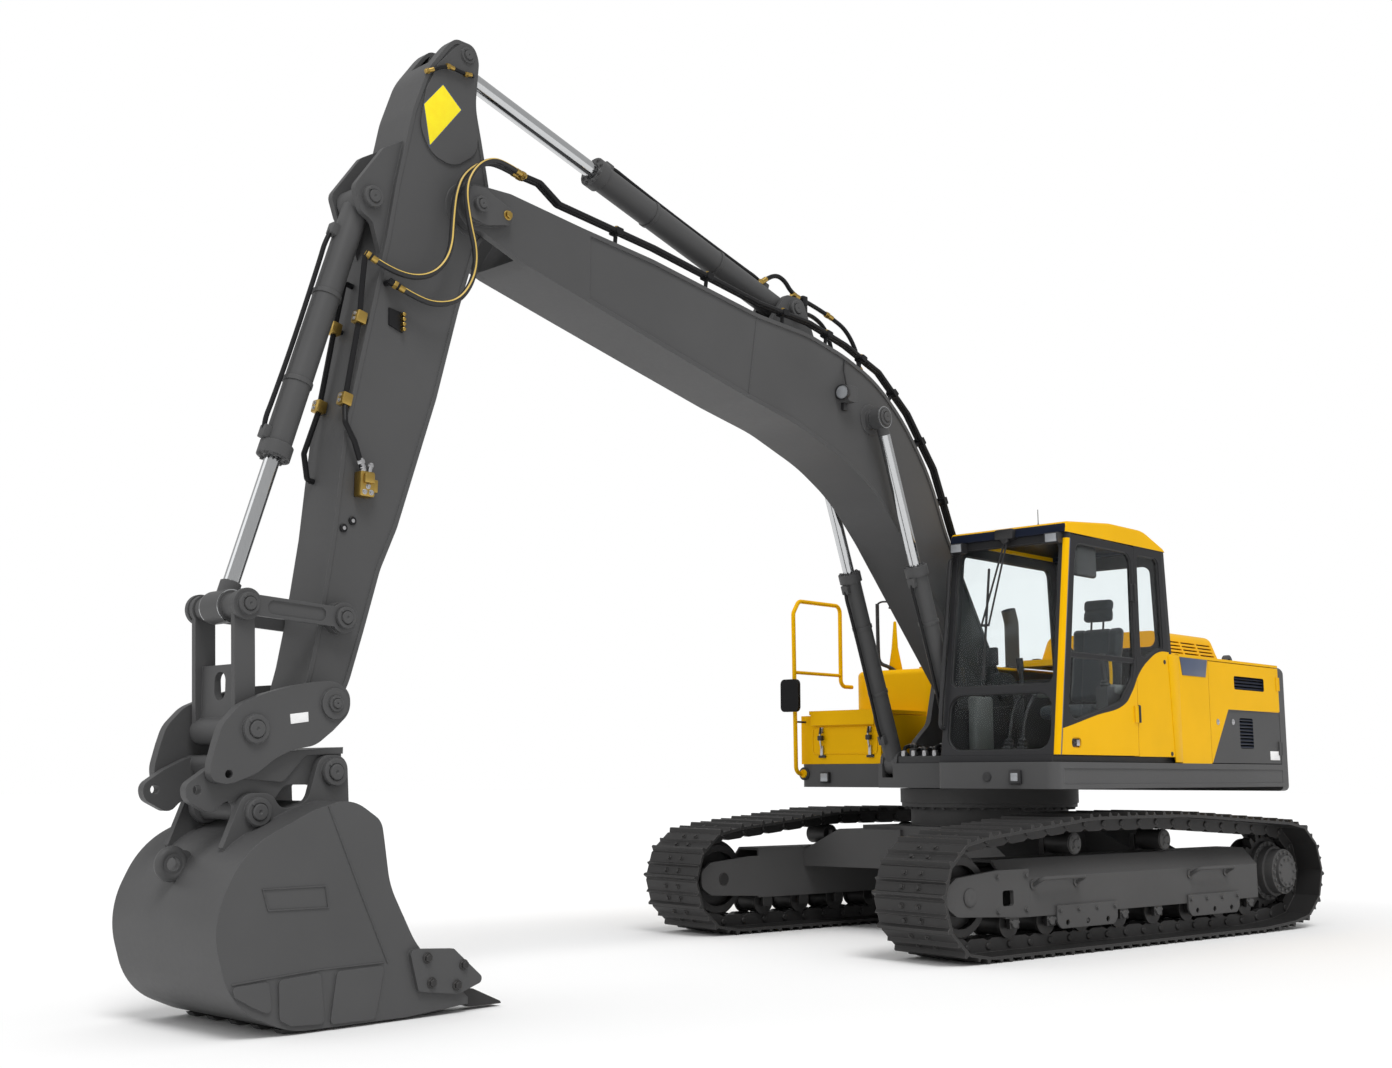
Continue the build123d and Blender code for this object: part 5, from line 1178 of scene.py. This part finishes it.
def build_cab_inside():
    """Monitor, travel levers, gaiters and the bent yellow lever."""
    black, yellow, trim = bmesh.new(), bmesh.new(), bmesh.new()
    block(black, (0.800, 0.478, 1.950), (0.840, 0.640, 2.080), 0.010, segments=3)
    wire(black, ((0.800, 0.500, 1.720), (0.815, 0.500, 1.850), (0.820, 0.540, 1.960)), 0.014)
    block(trim, (0.700, 0.438, 1.300), (0.920, 0.520, 1.730), 0.020, segments=3)
    for y in (0.790, 0.900):
        wire(black, ((0.940, y, 1.340), (0.915, y, 1.500), (0.860, y, 1.640), (0.800, y + 0.02, 1.720)),
             0.011)
        turned(black, ((0, 0), (0.018, 0.004), (0.021, 0.050), (0.016, 0.090), (0, 0.094)),
               stand((0.802, y + 0.02, 1.715), (-0.5, 0.1, 1)), 16)
        turned(black, ((0.045, 0), (0.036, 0.016), (0.041, 0.028), (0.030, 0.044), (0.034, 0.056),
                       (0.014, 0.070)), stand((0.940, y, 1.352), (-0.1, 0, 1)), 18)
    for y in (0.545, 1.225):
        turned(black, ((0.042, 0), (0.034, 0.012), (0.039, 0.022), (0.028, 0.034), (0.033, 0.044),
                       (0.018, 0.056)), stand((0.341, y, 1.788), (0.14, 0, 1)), 18)
        block(trim, (-0.130, y - 0.052, 1.735), (0.300, y + 0.052, 1.812), 0.024, segments=4)
    wire(yellow, ((0.210, 1.155, 1.640), (0.215, 1.160, 1.720), (0.150, 1.165, 1.800),
                  (0.140, 1.165, 1.900), (0.150, 1.165, 2.000)), 0.012)
    finish("cab_controls", black, BLACK_PLASTIC, "upper")
    finish("cab_lever", yellow, YELLOW_PAINT, "upper")
    finish("cab_consoles", trim, TRIM, "upper")


def inflate(name, bm, cap):
    """Cushion: a form blown up as cloth, with each point held within a cap of where it began."""
    pad = new_object(name, bm)
    remesh = pad.modifiers.new("remesh", "REMESH")
    remesh.mode = "VOXEL"
    remesh.voxel_size = CUSHION_VOXEL
    apply_modifiers(pad)
    before = [v.co.copy() for v in pad.data.vertices]
    swell(pad)
    for vertex, start in zip(pad.data.vertices, before):
        step = vertex.co - start
        if step.length > cap:
            vertex.co = start + step * (cap / step.length)
    return pad


def swell(pad):
    """Run the cloth with air pressure and keep its last shape."""
    cloth_modifier = pad.modifiers.new("cloth", "CLOTH")
    settings = cloth_modifier.settings
    settings.use_pressure = True
    settings.uniform_pressure_force = CUSHION_PRESSURE
    settings.effector_weights.gravity = 0.0
    cloth_modifier.point_cache.frame_start = 1
    cloth_modifier.point_cache.frame_end = CUSHION_FRAMES
    for step in range(1, CUSHION_FRAMES + 1):
        SCENE.frame_set(step)
    apply_modifiers(pad)
    SCENE.frame_set(1)


def apply_modifiers(obj):
    """Replace an object's mesh with what its modifiers make of it."""
    graph = bpy.context.evaluated_depsgraph_get()
    mesh = bpy.data.meshes.new_from_object(obj.evaluated_get(graph))
    obj.modifiers.clear()
    obj.data = mesh


def sew(pad, seams):
    """Press sewn channels into a cushion; seams gives a point's distance to the nearest one."""
    for vertex in pad.data.vertices:
        sink = SEAM_DEPTH * math.exp(-(seams(vertex.co) / SEAM_WIDTH) ** 2)
        vertex.co -= vertex.normal * sink


def build_seat():
    """Cushion, back and headrest as blown-up cloth, on a bellows base."""
    slant = math.atan2(0.095, 0.62)
    tilt = Matrix.Translation((-0.185, SEAT_Y, 1.990)) @ Matrix.Rotation(-slant, 4, "Y")
    forms = (
        ("seat_cushion", ((-0.185, 0.635, 1.585), (0.305, 1.105, 1.665)), None, 0.030, 0.014,
         lambda p: min(abs(p.y - 0.755), abs(p.y - 0.985), abs(p.x - 0.190))),
        ("seat_back", ((-0.040, -0.215, -0.290), (0.032, 0.215, 0.290)), tilt, 0.034, 0.012,
         lambda p: min(abs(p.y - 0.765), abs(p.y - 0.975), abs(p.z - 2.060))),
        ("seat_headrest", ((-0.034, -0.118, -0.085), (0.030, 0.118, 0.085)),
         Matrix.Translation((-0.238, SEAT_Y, 2.405)) @ Matrix.Rotation(-slant, 4, "Y"), 0.028, 0.010,
         lambda p: abs(p.z - 2.405)),
    )
    for name, (low, high), place, edge, cap, seams in forms:
        bm = bmesh.new()
        block(bm, low, high, edge, place, segments=4)
        pad = inflate(name, bm, cap)
        sew(pad, seams)
        pad.data.shade_smooth()
        pad.data.materials.append(SEAT_CLOTH)
        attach(pad, "upper")
        if name == "seat_cushion":
            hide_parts("seat")
    base = bmesh.new()
    rings = [(0.205, 0.0), (0.205, 0.030), (0.170, 0.040)]
    for i in range(5):
        rings += [(0.190, 0.055 + 0.030 * i), (0.165, 0.070 + 0.030 * i)]
    rings += [(0.200, 0.210), (0.225, 0.225), (0.225, 0.270), (0.200, 0.278)]
    turned(base, [(0, 0.0)] + rings + [(0, 0.278)],
           Matrix.Translation((0.045, SEAT_Y, 1.302)) @ Matrix.Rotation(math.radians(45), 4, "Z"), 4)
    for y in (0.820, 0.920):
        wire(base, ((-0.205, y, 2.230), (-0.222, y, 2.340), (-0.232, y, 2.400)), 0.008)
    for s in (-1, 1):
        side = ((-0.080, 0.210, 1.590), (-0.205, 0.205, 1.620), (-0.240, 0.200, 1.720),
                (-0.270, 0.190, 1.900))
        wire(base, [(x, SEAT_Y + s * y, z) for x, y, z in side], 0.014)
    finish("seat_base", base, BLACK_PLASTIC, "upper")


# Stage

def build_camera():
    """Camera at the photograph's viewpoint."""
    data = bpy.data.cameras.new("camera")
    data.lens = LENS_MM
    data.sensor_width = SENSOR_MM
    data.clip_end = CLIP_END
    camera = bpy.data.objects.new("camera", data)
    camera.location = CAMERA_AT
    camera.rotation_euler = (math.radians(90 + CAMERA_PITCH), 0, math.radians(CAMERA_YAW - 90))
    SCENE.collection.objects.link(camera)
    SCENE.camera = camera


def build_floor():
    """Pale floor that takes the shadow."""
    bm = bmesh.new()
    bmesh.ops.create_grid(bm, x_segments=1, y_segments=1, size=FLOOR_HALF)
    floor = new_object("floor", bm)
    mat, tree, shader = new_material("floor")
    feed(tree, shader, {"Base Color": (0.95, 0.95, 0.95, 1), "Roughness": 0.9, "Specular IOR Level": 0.0})
    floor.data.materials.append(mat)


def build_world():
    """White surroundings: full white where seen, softer where they only light the object."""
    world = bpy.data.worlds.new("studio")
    world.use_nodes = True
    SCENE.world = world
    tree = world.node_tree
    path = add(tree, "LightPath", {}).outputs
    seen = math_node(tree, "MAXIMUM", path["Is Camera Ray"], path["Is Transmission Ray"])
    mirrored = span(tree, path["Is Glossy Ray"], AMBIENT, MIRRORED)
    strength = math_node(tree, "MAXIMUM", seen, mirrored)
    feed(tree, tree.nodes["Background"], {"Color": (1, 1, 1, 1), "Strength": strength})


def build_lights():
    """Soft key from above the camera's left, and a weak fill from its right."""
    for name, strength, spread, height, turn in LIGHTS:
        data = bpy.data.lights.new(name, "SUN")
        data.energy = strength
        data.angle = math.radians(spread)
        lamp = bpy.data.objects.new(name, data)
        lamp.rotation_euler = (math.radians(90 - height), 0, math.radians(turn))
        SCENE.collection.objects.link(lamp)


build_camera()
build_floor()
build_world()
build_lights()
build_hoses()
build_pins()
build_boom()
build_boom_lines()
build_cylinders()
build_rod_eyes()
build_arm()
build_bucket()
build_tracks()
build_undercarriage()
build_tail()
build_hood()
build_right_deck()
build_deck_front()
build_cab_outside()
build_cab_inside()
build_seat()
SCENE.view_settings.view_transform = "Standard"
